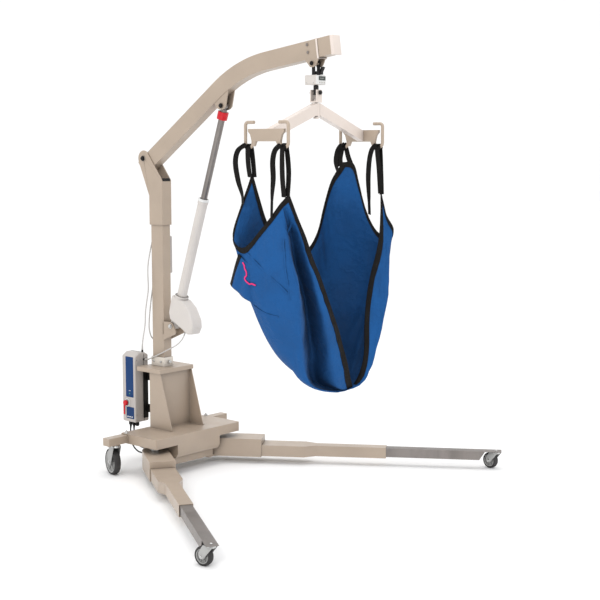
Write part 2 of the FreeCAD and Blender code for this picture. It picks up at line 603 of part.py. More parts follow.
def make_caster(name, stem, sizes, heading, stem_r, stem_top):
    """A swivel fork, wheel and axle under stem; heading is the way it rolls, in degrees from +X."""
    diameter, width, trail, plate_z = sizes
    radius = diameter / 2
    cheek_y = width / 2 + 1.5
    thick = 2.5
    reach = radius * 0.36
    outline = [(-trail - reach * 0.75, radius - reach * 0.4), (-trail + reach * 0.6, radius - reach * 0.7),
               (17, plate_z - 8), (17, plate_z - 3), (-26, plate_z - 3), (-trail - reach, radius + reach)]
    cheeks = [plate_xz(outline, y, y + thick) for y in (cheek_y, -cheek_y - thick)]
    crown = box(-26, 17, -cheek_y - thick, cheek_y + thick, plate_z - 6, plate_z - 3)
    race = bar(V(0, 0, plate_z - 3), V(0, 0, plate_z - 0.4), 16)
    shaft = bar(V(0, 0, plate_z - 3), V(0, 0, stem_top), stem_r)
    bolt = bar(V(-trail, -cheek_y - thick - 3, radius), V(-trail, cheek_y + thick + 3, radius), 5)
    fork = fused(cheeks + [crown, race, shaft, bolt])

    tyre = bar(V(-trail, -width / 2, radius), V(-trail, width / 2, radius), radius)
    tyre = tyre.makeFillet(min(width, radius) * 0.22, [e for e in tyre.Edges if e.Length > 3 * diameter * 0.9])
    dish = fused([ring(V(-trail, s * width / 2, radius), V(-trail, s * (width / 2 - 4), radius), radius * 0.68, 10)
                  for s in (-1, 1)])
    wheel = tyre.cut(dish).cut(bar(V(-trail, -width, radius), V(-trail, width, radius), 5 + RUN))

    def place(shape):
        return moved(turned(shape, V(0, 0, 0), V(0, 0, 1), heading), stem)

    parts[name + "_fork"] = place(fork)
    parts[name + "_wheel"] = place(wheel)
    return place


def make_casters():
    leg = math.radians(LEG_SPREAD)
    front = LEG_PIVOT + V(math.cos(leg), math.sin(leg), 0) * STEM_AT
    for side, word in ((1, "left"), (-1, "right")):
        rear_stem = V(REAR_STEM.x, side * REAR_STEM.y, 0)
        place = make_caster("rear_" + word, rear_stem, REAR_CASTER, side * REAR_HEADING, 8, 158)
        pivot_x, pivot_z = -40.0, 134.0
        pedal = plate_xz([(pivot_x - 4, 126), (pivot_x + 4, 126), (pivot_x + 4, 142), (-94, 140), (-100, 134),
                          (-92, 130)], -15, 15)
        hole = pin_y(pivot_x, pivot_z, 30, 3 + RUN)
        parts["rear_" + word + "_pedal"] = place(pedal.cut(hole))
        ears = [box(pivot_x - 5, -24, y, y + 2, 128, 144) for y in (-17.5, 15.5)]
        pin = pin_y(pivot_x, pivot_z, 17.5, 3)
        fork = parts["rear_" + word + "_fork"]
        parts["rear_" + word + "_fork"] = fused([fork] + [place(s) for s in ears + [pin]])
        front_stem = V(front.x, side * front.y, 0)
        make_caster("front_" + word, front_stem, FRONT_CASTER, side * FRONT_HEADING, 6, 90)


# ---------------------------------------------------------------- controls


BOX_X0, BOX_X1 = -186.0, -91.0
BOX_Y0, BOX_Y1 = -98.0, -10.0
BOX_Z0, BOX_Z1 = 196.0, 540.0
STOP = V(-150, BOX_Y0, 291)
PLUG, PLUG_Y = 24.0, -60.0
LEG_PLUGS = (-170.0, -146.0)
HANDSET_GLAND = V(-100, -40, BOX_Z1 + 12)
MOTOR_GLAND = V(BOX_X1 + 12, -40, 505)


def make_controls():
    profile = [(BOX_Y0, BOX_Z0), (BOX_Y1, BOX_Z0), (BOX_Y1, BOX_Z1 - 14), (-34, BOX_Z1), (-70, BOX_Z1),
               (BOX_Y0, BOX_Z1 - 18)]
    case = plate_yz(profile, BOX_X0, BOX_X1)
    case = rounded(case, 7, lambda e: True)
    inside = box(BOX_X0 + 6, BOX_X1 - 6, BOX_Y0 + 8, BOX_Y1 - 6, BOX_Z0 + 6, BOX_Z1 - 26)
    case = case.fuse(bar(STOP + V(0, 1, 0), STOP - V(0, 4, 0), 15)).cut(inside)
    parts["control_box"] = case.cut(bar(STOP - V(0, 5, 0), STOP + V(0, 12, 0), 9))
    parts["battery_pack"] = box(BOX_X0 + 12, BOX_X1 - 12, BOX_Y0 + 26, BOX_Y1 - 12, 330, 500)

    plate = box(BOX_X1, BOX_X1 + 4, -46, -16, 214, 470)
    arms = [box(BOX_X1 + 4, -MAST_X / 2, -22, -16, z, z + 40) for z in (240, 400)]
    parts["control_bracket"] = fused([plate] + arms)

    stem = bar(STOP - V(0, 8, 0), STOP + V(0, 9, 0), 8.5)
    cap = bar(STOP - V(0, 18, 0), STOP - V(0, 8, 0), 13)
    parts["stop_button"] = fused([stem, cap])

    plugs = [bar(V(x, PLUG_Y, BOX_Z0 + 2), V(x, PLUG_Y, BOX_Z0 - PLUG), 8) for x in LEG_PLUGS + (-122,)]
    plugs.append(bar(HANDSET_GLAND - V(0, 0, 16), HANDSET_GLAND, 5))
    plugs.append(bar(MOTOR_GLAND - V(16, 0, 0), MOTOR_GLAND, 5))
    parts["cable_plugs"] = Part.makeCompound([plug.cut(parts["control_box"]) for plug in plugs])


HANDSET_X0, HANDSET_X1 = -34.0, 22.0
HANDSET_Z0, HANDSET_Z1 = 930.0, 1110.0
HANDSET_END = V(-6, 44.5, HANDSET_Z0 - 14)


def make_handset():
    back = MAST_Y / 2 + 8
    shell = box(HANDSET_X0, HANDSET_X1, back, back + 24, HANDSET_Z0, HANDSET_Z1)
    shell = rounded(shell, 7, lambda e: True)
    middle = (HANDSET_X0 + HANDSET_X1) / 2
    face = back + 24
    wells = []
    for z in (1020, 1062):
        wells.append(box(middle - 18, middle + 18, face - 6, face + 1, z - 14, z + 14))
    eyelet = box(middle - 10, middle + 10, back + 2, back + 10, HANDSET_Z1 - 8, HANDSET_Z1 + 26)
    hole = box(middle - 5, middle + 5, back + 1, back + 11, HANDSET_Z1 + 2, HANDSET_Z1 + 14)
    relief = bar(HANDSET_END, HANDSET_END + V(0, 0, 16), 5)
    hinge_y = face - 1.6
    for z in (1020, 1062):
        wells.append(bar(V(middle - 20, hinge_y, z), V(middle + 20, hinge_y, z), 1 + RUN))
    parts["handset"] = fused([shell.cut(Part.makeCompound(wells)), eyelet.cut(hole), relief])
    for name, z in (("lift_key", 1062), ("leg_key", 1020)):
        key = box(middle - 17, middle + 17, face - 3, face + 2.5, z - 13, z + 13)
        key = rounded(key, 1.5, lambda e: abs(e.CenterOfMass.y - face - 2.5) < 0.1)
        pin = bar(V(middle - 19.5, hinge_y, z), V(middle + 19.5, hinge_y, z), 1)
        parts["handset_" + name] = fused([key, pin])
    arm = box(middle - 4, middle + 4, MAST_Y / 2, back + 16, HANDSET_Z1 + 8, HANDSET_Z1 + 14)
    lip = box(middle - 4, middle + 4, back + 12, back + 16, HANDSET_Z1 + 8, HANDSET_Z1 + 24)
    foot = box(middle - 14, middle + 14, MAST_Y / 2, MAST_Y / 2 + 3, HANDSET_Z1 - 18, HANDSET_Z1 + 34)
    parts["handset_hook"] = fused([arm, lip, foot])


# ---------------------------------------------------------------- free cables


def tube_along(path, points, radius):
    profile = Part.Wire(Part.makeCircle(radius, points[0], points[1] - points[0]))
    return path.makePipeShell([profile], True, False)


def cable(name, points, radius, holders, through=None):
    """
    A round cable along points: straight runs joined by tangent arcs as large as the runs allow.
    It sits in sockets in its holders, and in a wider hole in the part that it passes through.
    """
    points = [V(*p) for p in points]
    edges, here, tightest = [], points[0], 1e9
    for before, corner, after in zip(points, points[1:], points[2:]):
        back, on = before - corner, after - corner
        half = (math.pi - back.getAngle(on)) / 2
        cut = 0.45 * min(back.Length, on.Length)
        arc_r = cut / math.tan(half)
        tightest = min(tightest, arc_r)
        back, on = back / back.Length, on / on.Length
        start, end = corner + back * cut, corner + on * cut
        inward = (back + on) / (back + on).Length
        middle = corner + inward * (arc_r / math.cos(half) - arc_r)
        edges.append(Part.LineSegment(here, start).toShape())
        edges.append(Part.Arc(start, middle, end).toShape())
        here = end
    edges.append(Part.LineSegment(here, points[-1]).toShape())
    path = Part.Wire(edges)
    tube = tube_along(path, points, radius)
    ratio = tube.Volume / (math.pi * radius ** 2 * path.Length)
    print("%s: length %.0f mm, tightest radius %.1f mm, volume %.4f of section times length" % (
        name, path.Length, tightest, ratio))
    for holder in holders:
        parts[holder] = parts[holder].cut(tube)
    if through:
        parts[through] = parts[through].cut(tube_along(path, points, radius + 0.8))
    cords[name] = tube


def make_cables():
    """The four free cables; their routes are hand-chosen points, from gland or plug to the other end."""
    cable("handset_cable", [
        HANDSET_GLAND, (-94, -44, 590), (-76, -50, 634), (-62, -52, 686), (-58, -54, 744), (-50, -50, 800),
        (-46, -42, 854), (-48, -44, 910), (-52, -40, 966), (-54, -26, 1020), (-57, -8, 1072), (-60, 8, 1116),
        (-62, 32, 1142), (-66, 60, 1132), (-72, 70, 1084), (-72, 58, 1034), (-72, 44, 984), (-70, 26, 934),
        (-66, 8, 880), (-64, -6, 824), (-66, -14, 768), (-68, -20, 712), (-68, -24, 656), (-64, -12, 608),
        (-58, 24, 594), (-52, 56, 614), (-36, 64, 664), (-22, 60, 716), (-12, 54, 770), (-6, 48, 824),
        (-6, 44.5, 872), HANDSET_END], 3, ["cable_plugs"])
    cable("motor_cable", [
        MOTOR_EXIT, (160, -6, 636), (138, -14, 606), (106, -22, 584), (70, -32, 566), (38, -38, 549),
        (4, -39, 534), (-30, -39, 520), (-56, -40, 509), MOTOR_GLAND], 3, ["cable_plugs", "actuator_housing"])
    cable("leg_cable_1", [
        (LEG_PLUGS[0], PLUG_Y, BOX_Z0 - PLUG), (-170, -64, 140), (-160, -72, 104), (-132, -80, 70), (-96, -82, 50),
        (-58, -78, 48), (-24, -68, 62), (2, -54, 88), (22, -40, 112)],
        3.5, ["cable_plugs", "leg_actuator"], "lower_housing")
    cable("leg_cable_2", [
        (LEG_PLUGS[1], PLUG_Y, BOX_Z0 - PLUG), (-145, -63, 140), (-132, -70, 106), (-102, -76, 82), (-64, -74, 72),
        (-28, -62, 76), (0, -42, 92), (22, -18, 112)],
        3.5, ["cable_plugs", "leg_actuator"], "lower_housing")


# ---------------------------------------------------------------- output


def save_all():
    """Moves everything so that the origin is the bottom centre of the hoist, and writes the STEP files."""
    whole = FreeCAD.BoundBox()
    for shape in parts.values():
        whole.add(shape.optimalBoundingBox(False))
    shift = V(-(whole.XMin + whole.XMax) / 2, 0, 0)
    print("mast axis at x = %.3f mm; box x %.1f..%.1f y %.2f..%.2f z %.2f..%.1f; %d nodes" % (
        shift.x, whole.XMin, whole.XMax, whole.YMin, whole.YMax, whole.ZMin, whole.ZMax,
        len(parts) + len(cords)))
    for name, shape in {**parts, **cords}.items():
        placed = moved(shape, shift)
        if not placed.isValid():
            print("not valid:", name)
        placed.exportStep("parts/%s.step" % name)


make_base()
make_pedestal()
make_mast()
make_boom()
make_actuator()
make_hanger()
make_spreader()
make_sling()
make_legs()
make_leg_drive()
make_casters()
make_controls()
make_handset()
make_cables()
save_all()
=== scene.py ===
"""Looks of the patient lift hoist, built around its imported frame. Metres, +X forward, +Z up."""
import json
import math

import bmesh
import bpy
from mathutils import Matrix, Vector, noise
from mathutils.bvhtree import BVHTree


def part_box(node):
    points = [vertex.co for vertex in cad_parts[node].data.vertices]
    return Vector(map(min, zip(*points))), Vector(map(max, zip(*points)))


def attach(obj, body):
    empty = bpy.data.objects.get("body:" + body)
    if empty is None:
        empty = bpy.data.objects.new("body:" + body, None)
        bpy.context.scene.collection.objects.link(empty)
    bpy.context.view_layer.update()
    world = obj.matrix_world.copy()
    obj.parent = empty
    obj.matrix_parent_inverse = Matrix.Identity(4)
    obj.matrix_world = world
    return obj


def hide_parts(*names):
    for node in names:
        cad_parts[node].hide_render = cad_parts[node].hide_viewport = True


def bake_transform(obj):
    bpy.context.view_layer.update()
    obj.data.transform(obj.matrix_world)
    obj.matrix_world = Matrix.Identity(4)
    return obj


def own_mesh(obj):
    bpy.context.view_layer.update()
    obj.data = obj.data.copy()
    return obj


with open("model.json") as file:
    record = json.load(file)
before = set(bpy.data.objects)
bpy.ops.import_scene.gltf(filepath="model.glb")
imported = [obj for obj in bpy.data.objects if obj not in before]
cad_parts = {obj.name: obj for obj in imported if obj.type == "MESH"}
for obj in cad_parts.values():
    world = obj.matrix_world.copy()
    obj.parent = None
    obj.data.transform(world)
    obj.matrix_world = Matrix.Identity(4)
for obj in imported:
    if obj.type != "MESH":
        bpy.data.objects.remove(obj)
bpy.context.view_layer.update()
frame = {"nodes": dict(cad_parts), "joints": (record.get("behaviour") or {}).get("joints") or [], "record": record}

RIGHT, LEFT_SIDE, UP, FRONT = Vector((0, -1, 0)), Vector((0, 1, 0)), Vector((0, 0, 1)), Vector((1, 0, 0))
SIDES = ((-1, "right"), (1, "left"))

# The mast's axis in the row frame; places below are in millimetres from it, as the frame was designed.
MAST_X = sum(corner.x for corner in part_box("mast_lower")) / 2


def at(x, y, z):
    """A point given in millimetres from the foot of the mast's axis, in the row frame's metres."""
    return Vector((MAST_X + x / 1000, y / 1000, z / 1000))


# ---------------------------------------------------------------- camera

VIEW_TURN, VIEW_DOWN = 41.37, 6.90
camera_data = bpy.data.cameras.new("camera")
camera_data.lens = 76.4
camera_data.clip_end = 60
camera = bpy.data.objects.new("camera", camera_data)
camera.location = at(4549.8, -4151.8, 1541.5)
camera.rotation_euler = (math.radians(90 - VIEW_DOWN), 0, math.radians(VIEW_TURN))
bpy.context.scene.collection.objects.link(camera)
bpy.context.scene.camera = camera
bpy.context.scene.view_settings.view_transform = "Standard"


# ---------------------------------------------------------------- materials


def new_material(name):
    made = bpy.data.materials.new(name)
    made.use_nodes = True
    return made, made.node_tree, made.node_tree.nodes["Principled BSDF"]


def plug(tree, socket, value):
    """Links the socket to another socket, or gives it a value."""
    if isinstance(value, bpy.types.NodeSocket):
        tree.links.new(value, socket)
    else:
        socket.default_value = value


def fill(tree, node, **sockets):
    """Plugs a node's inputs by name; an underscore stands for a blank."""
    for name, value in sockets.items():
        plug(tree, node.inputs[name.replace("_", " ")], value)
    return node


def add(tree, kind, **sockets):
    return fill(tree, tree.nodes.new(kind), **sockets)


def mixed(tree, factor, first, second):
    """The colour between first and second; each is a colour or a socket."""
    node = tree.nodes.new("ShaderNodeMix")
    node.data_type = "RGBA"
    for index, value in ((0, factor), (6, first), (7, second)):
        plug(tree, node.inputs[index], value)
    return node.outputs[2]


def ranged(tree, value, low, high, out_low=0.0, out_high=1.0):
    node = add(tree, "ShaderNodeMapRange", Value=value, From_Min=low, From_Max=high, To_Min=out_low,
               To_Max=out_high)
    return node.outputs[0]


def calculated(tree, operation, *values):
    node = tree.nodes.new("ShaderNodeMath")
    node.operation = operation
    for socket, value in zip(node.inputs, values):
        plug(tree, socket, value)
    return node.outputs[0]


def placed(tree):
    return tree.nodes.new("ShaderNodeTexCoord").outputs["Object"]


def bumpy(tree, height, strength, distance, **sockets):
    return add(tree, "ShaderNodeBump", Height=height, Strength=strength, Distance=distance, **sockets).outputs[0]


def sheltered(tree, distance, samples):
    """Near 0 in hollows and 1 in the open; the materials use it to paint shade into hollows."""
    node = add(tree, "ShaderNodeAmbientOcclusion", Distance=distance)
    node.samples = samples
    return node.outputs["AO"]


def noise_of(tree, vector, scale, detail=3.0):
    return add(tree, "ShaderNodeTexNoise", Vector=vector, Scale=scale, Detail=detail).outputs["Fac"]


def edges_of(tree, radius):
    """About 1 on sharp edges and 0 on open faces."""
    soft = add(tree, "ShaderNodeBevel", Radius=radius)
    soft.samples = 4
    plain = tree.nodes.new("ShaderNodeNewGeometry")
    dot = tree.nodes.new("ShaderNodeVectorMath")
    dot.operation = "DOT_PRODUCT"
    tree.links.new(soft.outputs[0], dot.inputs[0])
    tree.links.new(plain.outputs["Normal"], dot.inputs[1])
    return ranged(tree, dot.outputs["Value"], 0.995, 0.90)


def shade(colour, factor):
    return tuple(min(1.0, c * factor) for c in colour[:3]) + (1.0,)


def coated(name, colour, rough, grain, bump, wear=0.0, metallic=0.0, coat=0.0, dirt=0.06, shine=0.5):
    """Paint or moulded plastic: slow tone changes, a fine surface grain, dulled patches, lighter edges, and painted
    shade that darkens the colour in hollows and between parts.
    """
    made, tree, bsdf = new_material(name)
    place = placed(tree)
    slow = ranged(tree, noise_of(tree, place, 5.0, 4.0), 0.3, 0.7)
    tone = mixed(tree, slow, shade(colour, 1 - dirt), shade(colour, 1 + dirt))
    fine = noise_of(tree, place, grain, 2.0)
    tone = mixed(tree, ranged(tree, fine, 0.45, 0.8, 0.0, 0.12), tone, shade(colour, 0.7))
    if wear:
        worn = ranged(tree, noise_of(tree, place, 42.0), 0.4, 0.65)
        edge = calculated(tree, "MULTIPLY", edges_of(tree, 0.0018), worn)
        tone = mixed(tree, calculated(tree, "MULTIPLY", edge, wear), tone, shade(colour, 1.35))
    # Painted shade: an ambient occlusion mask darkens the colour towards near black in hollows and between parts.
    painted_shade_mix = ranged(tree, sheltered(tree, 0.05, 4), 0.0, 0.9, 0.3, 1.0)
    tone = mixed(tree, painted_shade_mix, shade(colour, 0.05), tone)
    patches = ranged(tree, noise_of(tree, place, 14.0, 5.0), 0.3, 0.7, rough - 0.06, rough + 0.08)
    fill(tree, bsdf, Base_Color=tone, Roughness=patches, Normal=bumpy(tree, fine, bump, 0.0006),
         Metallic=metallic, Coat_Weight=coat, Coat_Roughness=0.2, Specular_IOR_Level=shine)
    return made


def steel(name, colour, rough, direction):
    """Bare steel with drawing marks that run along direction (stretch of the noise per axis)."""
    made, tree, bsdf = new_material(name)
    place = placed(tree)
    mapping = add(tree, "ShaderNodeMapping", Scale=direction, Vector=place)
    marks = noise_of(tree, mapping.outputs[0], 30.0, 4.0)
    tone = mixed(tree, ranged(tree, marks, 0.3, 0.7), shade(colour, 0.82), shade(colour, 1.12))
    blotch = ranged(tree, noise_of(tree, place, 9.0, 5.0), 0.52, 0.7, 0.0, 0.35)
    tone = mixed(tree, blotch, tone, shade(colour, 0.6))
    dull = ranged(tree, marks, 0.3, 0.7, rough - 0.08, rough + 0.12)
    fill(tree, bsdf, Base_Color=tone, Roughness=dull, Normal=bumpy(tree, marks, 0.25, 0.0003), Metallic=0.9)
    return made


def woven(name, colour, period, twill, sheen):
    """Cloth woven in two thread directions along its UV map, which is in metres, with painted shade that darkens it
    deep in its hollows and folds.
    """
    made, tree, bsdf = new_material(name)
    flat = tree.nodes.new("ShaderNodeUVMap")
    flat.uv_map = "flat"
    axes = add(tree, "ShaderNodeSeparateXYZ", Vector=flat.outputs[0])
    turn = 2 * math.pi / period
    across = calculated(tree, "MULTIPLY", axes.outputs[0], turn)
    along = calculated(tree, "MULTIPLY", axes.outputs[1], turn)
    along = calculated(tree, "ADD", along, calculated(tree, "MULTIPLY", across, twill))
    over = calculated(tree, "MULTIPLY", calculated(tree, "SINE", across), calculated(tree, "SINE", along))
    height = ranged(tree, over, -1.0, 1.0)
    place = placed(tree)
    slow = ranged(tree, noise_of(tree, place, 6.0, 4.0), 0.3, 0.7)
    tone = mixed(tree, slow, shade(colour, 0.86), shade(colour, 1.12))
    tone = mixed(tree, ranged(tree, over, -1.0, 1.0, 0.0, 0.35), tone, shade(colour, 0.62))
    # Painted shade: ambient occlusion darkens the cloth towards black deep inside the sling and in its folds.
    painted_shade_depth = calculated(tree, "POWER", ranged(tree, sheltered(tree, 0.35, 6), 0.1, 0.95), 1.3)
    tone = mixed(tree, ranged(tree, painted_shade_depth, 0.0, 1.0, 0.22, 1.0), shade(colour, 0.0), tone)
    wave = calculated(tree, "ABSOLUTE", ranged(tree, noise_of(tree, place, 11.0, 4.0), 0.0, 1.0, -1.0, 1.0))
    crease = calculated(tree, "POWER", calculated(tree, "SUBTRACT", 1.0, wave), 5.0)
    folds = bumpy(tree, crease, 0.5, 0.006)
    fill(tree, bsdf, Base_Color=tone, Roughness=ranged(tree, slow, 0.0, 1.0, 0.62, 0.78),
         Normal=bumpy(tree, height, 0.5, 0.0004, Normal=folds), Sheen_Weight=sheen, Sheen_Roughness=0.4,
         Specular_IOR_Level=0.2)
    return made


TAN = (0.42, 0.335, 0.26)
PALE = (0.74, 0.65, 0.59)
# Colour, roughness, grain, height of the bumps, and what else differs from a plain coat.
COATS = {
    "frame_paint": (TAN, 0.42, 650.0, 0.12, dict(wear=0.5, coat=0.25)),
    "spreader_paint": (PALE, 0.36, 650.0, 0.1, dict(wear=0.4, coat=0.35, dirt=0.03)),
    "light_plastic": ((0.62, 0.58, 0.545), 0.38, 800.0, 0.12, dict(wear=0.3, coat=0.15, dirt=0.04)),
    "case_plastic": ((0.50, 0.465, 0.44), 0.5, 1100.0, 0.25, dict(wear=0.25, dirt=0.04)),
    "cream_plastic": ((0.80, 0.74, 0.66), 0.35, 700.0, 0.08, dict(wear=0.3, coat=0.2, dirt=0.03)),
    "black_plastic": ((0.010, 0.009, 0.009), 0.45, 1000.0, 0.3, dict(wear=0.6, dirt=0.2, shine=0.25)),
    "red_plastic": ((0.60, 0.012, 0.022), 0.35, 700.0, 0.1, dict(wear=0.2, dirt=0.06, shine=0.3)),
    "caster_plastic": ((0.40, 0.40, 0.39), 0.48, 900.0, 0.2, dict(wear=0.4, dirt=0.06)),
    "tread": ((0.035, 0.033, 0.033), 0.72, 900.0, 0.35, dict(dirt=0.2)),
    "grey_cable": ((0.55, 0.53, 0.51), 0.45, 900.0, 0.1, dict(dirt=0.05)),
    "black_cable": ((0.010, 0.010, 0.010), 0.5, 900.0, 0.15, dict(dirt=0.15, shine=0.3)),
    "blue_panel": ((0.003, 0.038, 0.145), 0.4, 900.0, 0.1, dict(dirt=0.08, shine=0.2)),
    "lcd": ((0.03, 0.04, 0.035), 0.18, 300.0, 0.02, dict(coat=0.6, dirt=0.1)),
    "white_mark": ((0.75, 0.75, 0.74), 0.5, 600.0, 0.05, dict(dirt=0.02)),
    "green_mark": ((0.03, 0.32, 0.12), 0.35, 600.0, 0.05, dict(coat=0.3, dirt=0.05)),
    "pink_thread": ((0.75, 0.02, 0.18), 0.7, 1500.0, 0.4, dict(dirt=0.1)),
}
LOOKS = {name: coated(name, *values, **more) for name, (*values, more) in COATS.items()}
LOOKS.update({
    "bare_steel": steel("bare_steel", (0.27, 0.245, 0.23), 0.42, (0.6, 0.6, 0.15)),
    "bright_steel": steel("bright_steel", (0.62, 0.62, 0.61), 0.25, (1.0, 1.0, 1.0)),
    "sling_fabric": woven("sling_fabric", (0.008, 0.088, 0.285), 0.0022, 1.0, 0.04),
    "webbing": woven("webbing", (0.0055, 0.0045, 0.004), 0.0016, 0.0, 0.0),
})


SHARP = math.radians(38)


def dress(piece, body, look, smooth=True):
    """Gives a mesh or curve piece its material and the body that it rides on."""
    piece.data.materials.clear()
    piece.data.materials.append(LOOKS[look])
    if smooth and piece.type == "MESH":
        piece.data.shade_smooth()
        piece.data.set_sharp_from_angle(angle=SHARP)
    if body:
        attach(piece, body)
    return piece


def linked(name, data):
    piece = bpy.data.objects.new(name, data)
    bpy.context.scene.collection.objects.link(piece)
    return piece


# ---------------------------------------------------------------- free cables


def route_curve(name, points, thickness):
    """A smooth NURBS spline with the given control points; thickness 0 leaves the bare line."""
    data = bpy.data.curves.new(name, "CURVE")
    data.dimensions = "3D"
    data.resolution_u = 8
    data.bevel_depth = thickness / 2
    data.bevel_resolution = 4
    data.use_fill_caps = True
    spline = data.splines.new("NURBS")
    spline.points.add(len(points) - 1)
    for slot, point in zip(spline.points, points):
        slot.co = (*at(*point), 1)
    spline.order_u = 3
    spline.use_endpoint_u = True
    return linked(name, data)


def mesh_of(curve):
    """The curve's mesh; the curve itself is removed."""
    bpy.context.view_layer.update()
    mesh = bpy.data.meshes.new_from_object(curve.evaluated_get(bpy.context.evaluated_depsgraph_get()))
    bpy.data.objects.remove(curve)
    return mesh


def line_of(route):
    """The points along the smooth line of a route."""
    mesh = mesh_of(route_curve("line", route, 0))
    line = [vertex.co.copy() for vertex in mesh.vertices]
    bpy.data.meshes.remove(mesh)
    return line


def length_of(line):
    return sum((b - a).length for a, b in zip(line, line[1:]))


def finished(build, name):
    bmesh.ops.recalc_face_normals(build, faces=build.faces)
    data = bpy.data.meshes.new(name)
    build.to_mesh(data)
    build.free()
    return linked(name, data)


def circle(count):
    """Evenly spaced angles."""
    return [2 * math.pi * index / count for index in range(count)]


def skinned(name, rings, joined=False, widths=None, lengths=None):
    """A piece through rings of points, with capped ends or with its ends joined.

    Widths, one for each point of a ring, and lengths, one for each ring, give it a UV map in metres."""
    build = bmesh.new()
    flat = build.loops.layers.uv.new("flat") if widths else None
    rings = [[build.verts.new(point) for point in ring] for ring in rings]
    count, last = len(rings[0]), len(rings) - 1
    for first in range(len(rings) if joined else last):
        second = (first + 1) % len(rings)
        for index in range(count):
            after = (index + 1) % count
            corners = ((first, index), (first, after), (second, after), (second, index))
            face = build.faces.new([rings[a][b] for a, b in corners])
            for loop, (a, b) in zip(face.loops, corners if widths else ()):
                loop[flat].uv = (widths[b], lengths[last if first == last else a])
    if not joined:
        build.faces.new(list(reversed(rings[0])))
        build.faces.new(rings[-1])
    return finished(build, name)


def lathe(name, profile, start, direction, segments, ring_shaped=False):
    """A turned piece from (distance along direction, radius) pairs; its ends are capped, or joined if ring-shaped."""
    axis = Vector(direction).normalized()
    side = axis.orthogonal().normalized()
    other = axis.cross(side)
    rings = [[start + axis * along + (side * (math.cos(angle) * radius) + other * (math.sin(angle) * radius))
              for angle in circle(segments)] for along, radius in profile]
    return skinned(name, rings, ring_shaped)


def sleeve(name, start, direction, length, wide, narrow, look, body):
    """A tapered strain relief with five rings around it, from start along direction."""
    profile = [(0.0, wide)]
    rings = 5
    for index in range(rings):
        share = (index + 0.5) / rings
        radius = wide + (narrow - wide) * share
        here = length * (0.12 + 0.8 * index / rings)
        step = length * 0.8 / rings
        profile += [(here, radius), (here + step * 0.55, radius * 0.97), (here + step * 0.6, radius * 0.84),
                    (here + step * 0.95, radius * 0.82)]
    profile.append((length, narrow))
    return dress(lathe(name, profile, start, direction, 20), body, look)


HANDSET_ROUTE = [
    (-100, -40, 552), (-94, -44, 590), (-76, -50, 634), (-62, -52, 686), (-58, -54, 744), (-50, -50, 800),
    (-46, -42, 854), (-48, -44, 910), (-52, -40, 966), (-54, -26, 1020), (-57, -8, 1072), (-60, 8, 1116),
    (-62, 32, 1142), (-66, 60, 1132), (-72, 70, 1084), (-72, 58, 1034), (-72, 44, 984), (-70, 26, 934),
    (-66, 8, 880), (-64, -6, 824), (-66, -14, 768), (-68, -20, 712), (-68, -24, 656), (-64, -12, 608),
    (-58, 24, 594), (-52, 56, 614), (-36, 64, 664), (-22, 60, 716), (-12, 54, 770), (-6, 48, 824),
    (-6, 44.5, 872), (-6, 44.5, 916)]
MOTOR_ROUTE = [
    (166, 0, 668), (160, -6, 636), (138, -14, 606), (106, -22, 584), (70, -32, 566), (38, -38, 549),
    (4, -39, 534), (-30, -39, 520), (-56, -40, 509), (-79, -40, 505)]
LEG_ROUTES = [
    [(-170, -60, 172), (-170, -64, 140), (-160, -72, 104), (-132, -80, 70), (-96, -82, 50), (-58, -78, 48),
     (-24, -68, 62), (2, -54, 88), (22, -40, 112)],
    [(-146, -60, 172), (-145, -63, 140), (-132, -70, 106), (-102, -76, 82), (-64, -74, 72), (-28, -62, 76),
     (0, -42, 92), (22, -18, 112)]]
GREY_WIDE, BLACK_WIDE = 0.006, 0.007


def make_reliefs(name, route, wide, look, bodies, length=0.026):
    """Strain reliefs around both ends of a cable, narrowing away from the gland or plug."""
    made = []
    for end, body, (a, b) in zip(("from", "to"), bodies, ((0, 1), (-1, -2))):
        start, onward = at(*route[a]), at(*route[b])
        made.append(sleeve("%s_relief_%s" % (name, end), start, onward - start, length, wide * 0.85, wide * 0.56,
                           look, body))
    return made


def make_cord(name, route, wide, look, body):
    piece = dress(route_curve(name + "_cord", route, wide), body, look)
    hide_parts(name)
    round(length_of(line_of(route)), 3)
    return piece


def make_motor_cord():
    """The motor's cable as a mesh tube that runs between the swinging actuator and the base."""
    line = line_of(MOTOR_ROUTE)
    mesh = mesh_of(route_curve("motor_thick", MOTOR_ROUTE, GREY_WIDE))
    reliefs = make_reliefs("motor_cable", MOTOR_ROUTE, GREY_WIDE, "grey_cable", ("actuator", "base"))
    piece = dress(linked("motor_cable_tube", mesh), None, "grey_cable")
    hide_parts("motor_cable")
    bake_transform(piece)


def make_cords():
    reliefs = make_reliefs("handset_cable", HANDSET_ROUTE, GREY_WIDE, "grey_cable", ("base", "base"))
    make_cord("handset_cable", HANDSET_ROUTE, GREY_WIDE, "grey_cable", "base")
    make_motor_cord()
    for number, route in enumerate(LEG_ROUTES, 1):
        name = "leg_cable_%d" % number
        reliefs = make_reliefs(name, route, BLACK_WIDE, "black_cable", ("base", "base"), 0.02)
        make_cord(name, route, BLACK_WIDE, "black_cable", "base")


make_cords()


# ---------------------------------------------------------------- frame from the CAD, and small helpers


def dress_frame():
    """Every CAD node keeps its mesh and gets its material, welded corners and slightly broken edges."""
    for part in frame["record"]["subparts"]:
        node = frame["nodes"][part["node"]]
        node.data.materials.clear()
        node.data.materials.append(LOOKS[part["material_slot"]])
        node.data.shade_smooth()
        weld = node.modifiers.new("weld", "WELD")
        weld.merge_threshold = 0.00002
        edges = node.modifiers.new("edges", "BEVEL")
        edges.width = 0.0009
        edges.segments = 2
        edges.limit_method = "ANGLE"
        edges.angle_limit = math.radians(40)
        edges.harden_normals = True
        creases = node.modifiers.new("creases", "EDGE_SPLIT")
        creases.split_angle = math.radians(42)
        flat = node.modifiers.new("flat_faces", "WEIGHTED_NORMAL")
        flat.keep_sharp = True


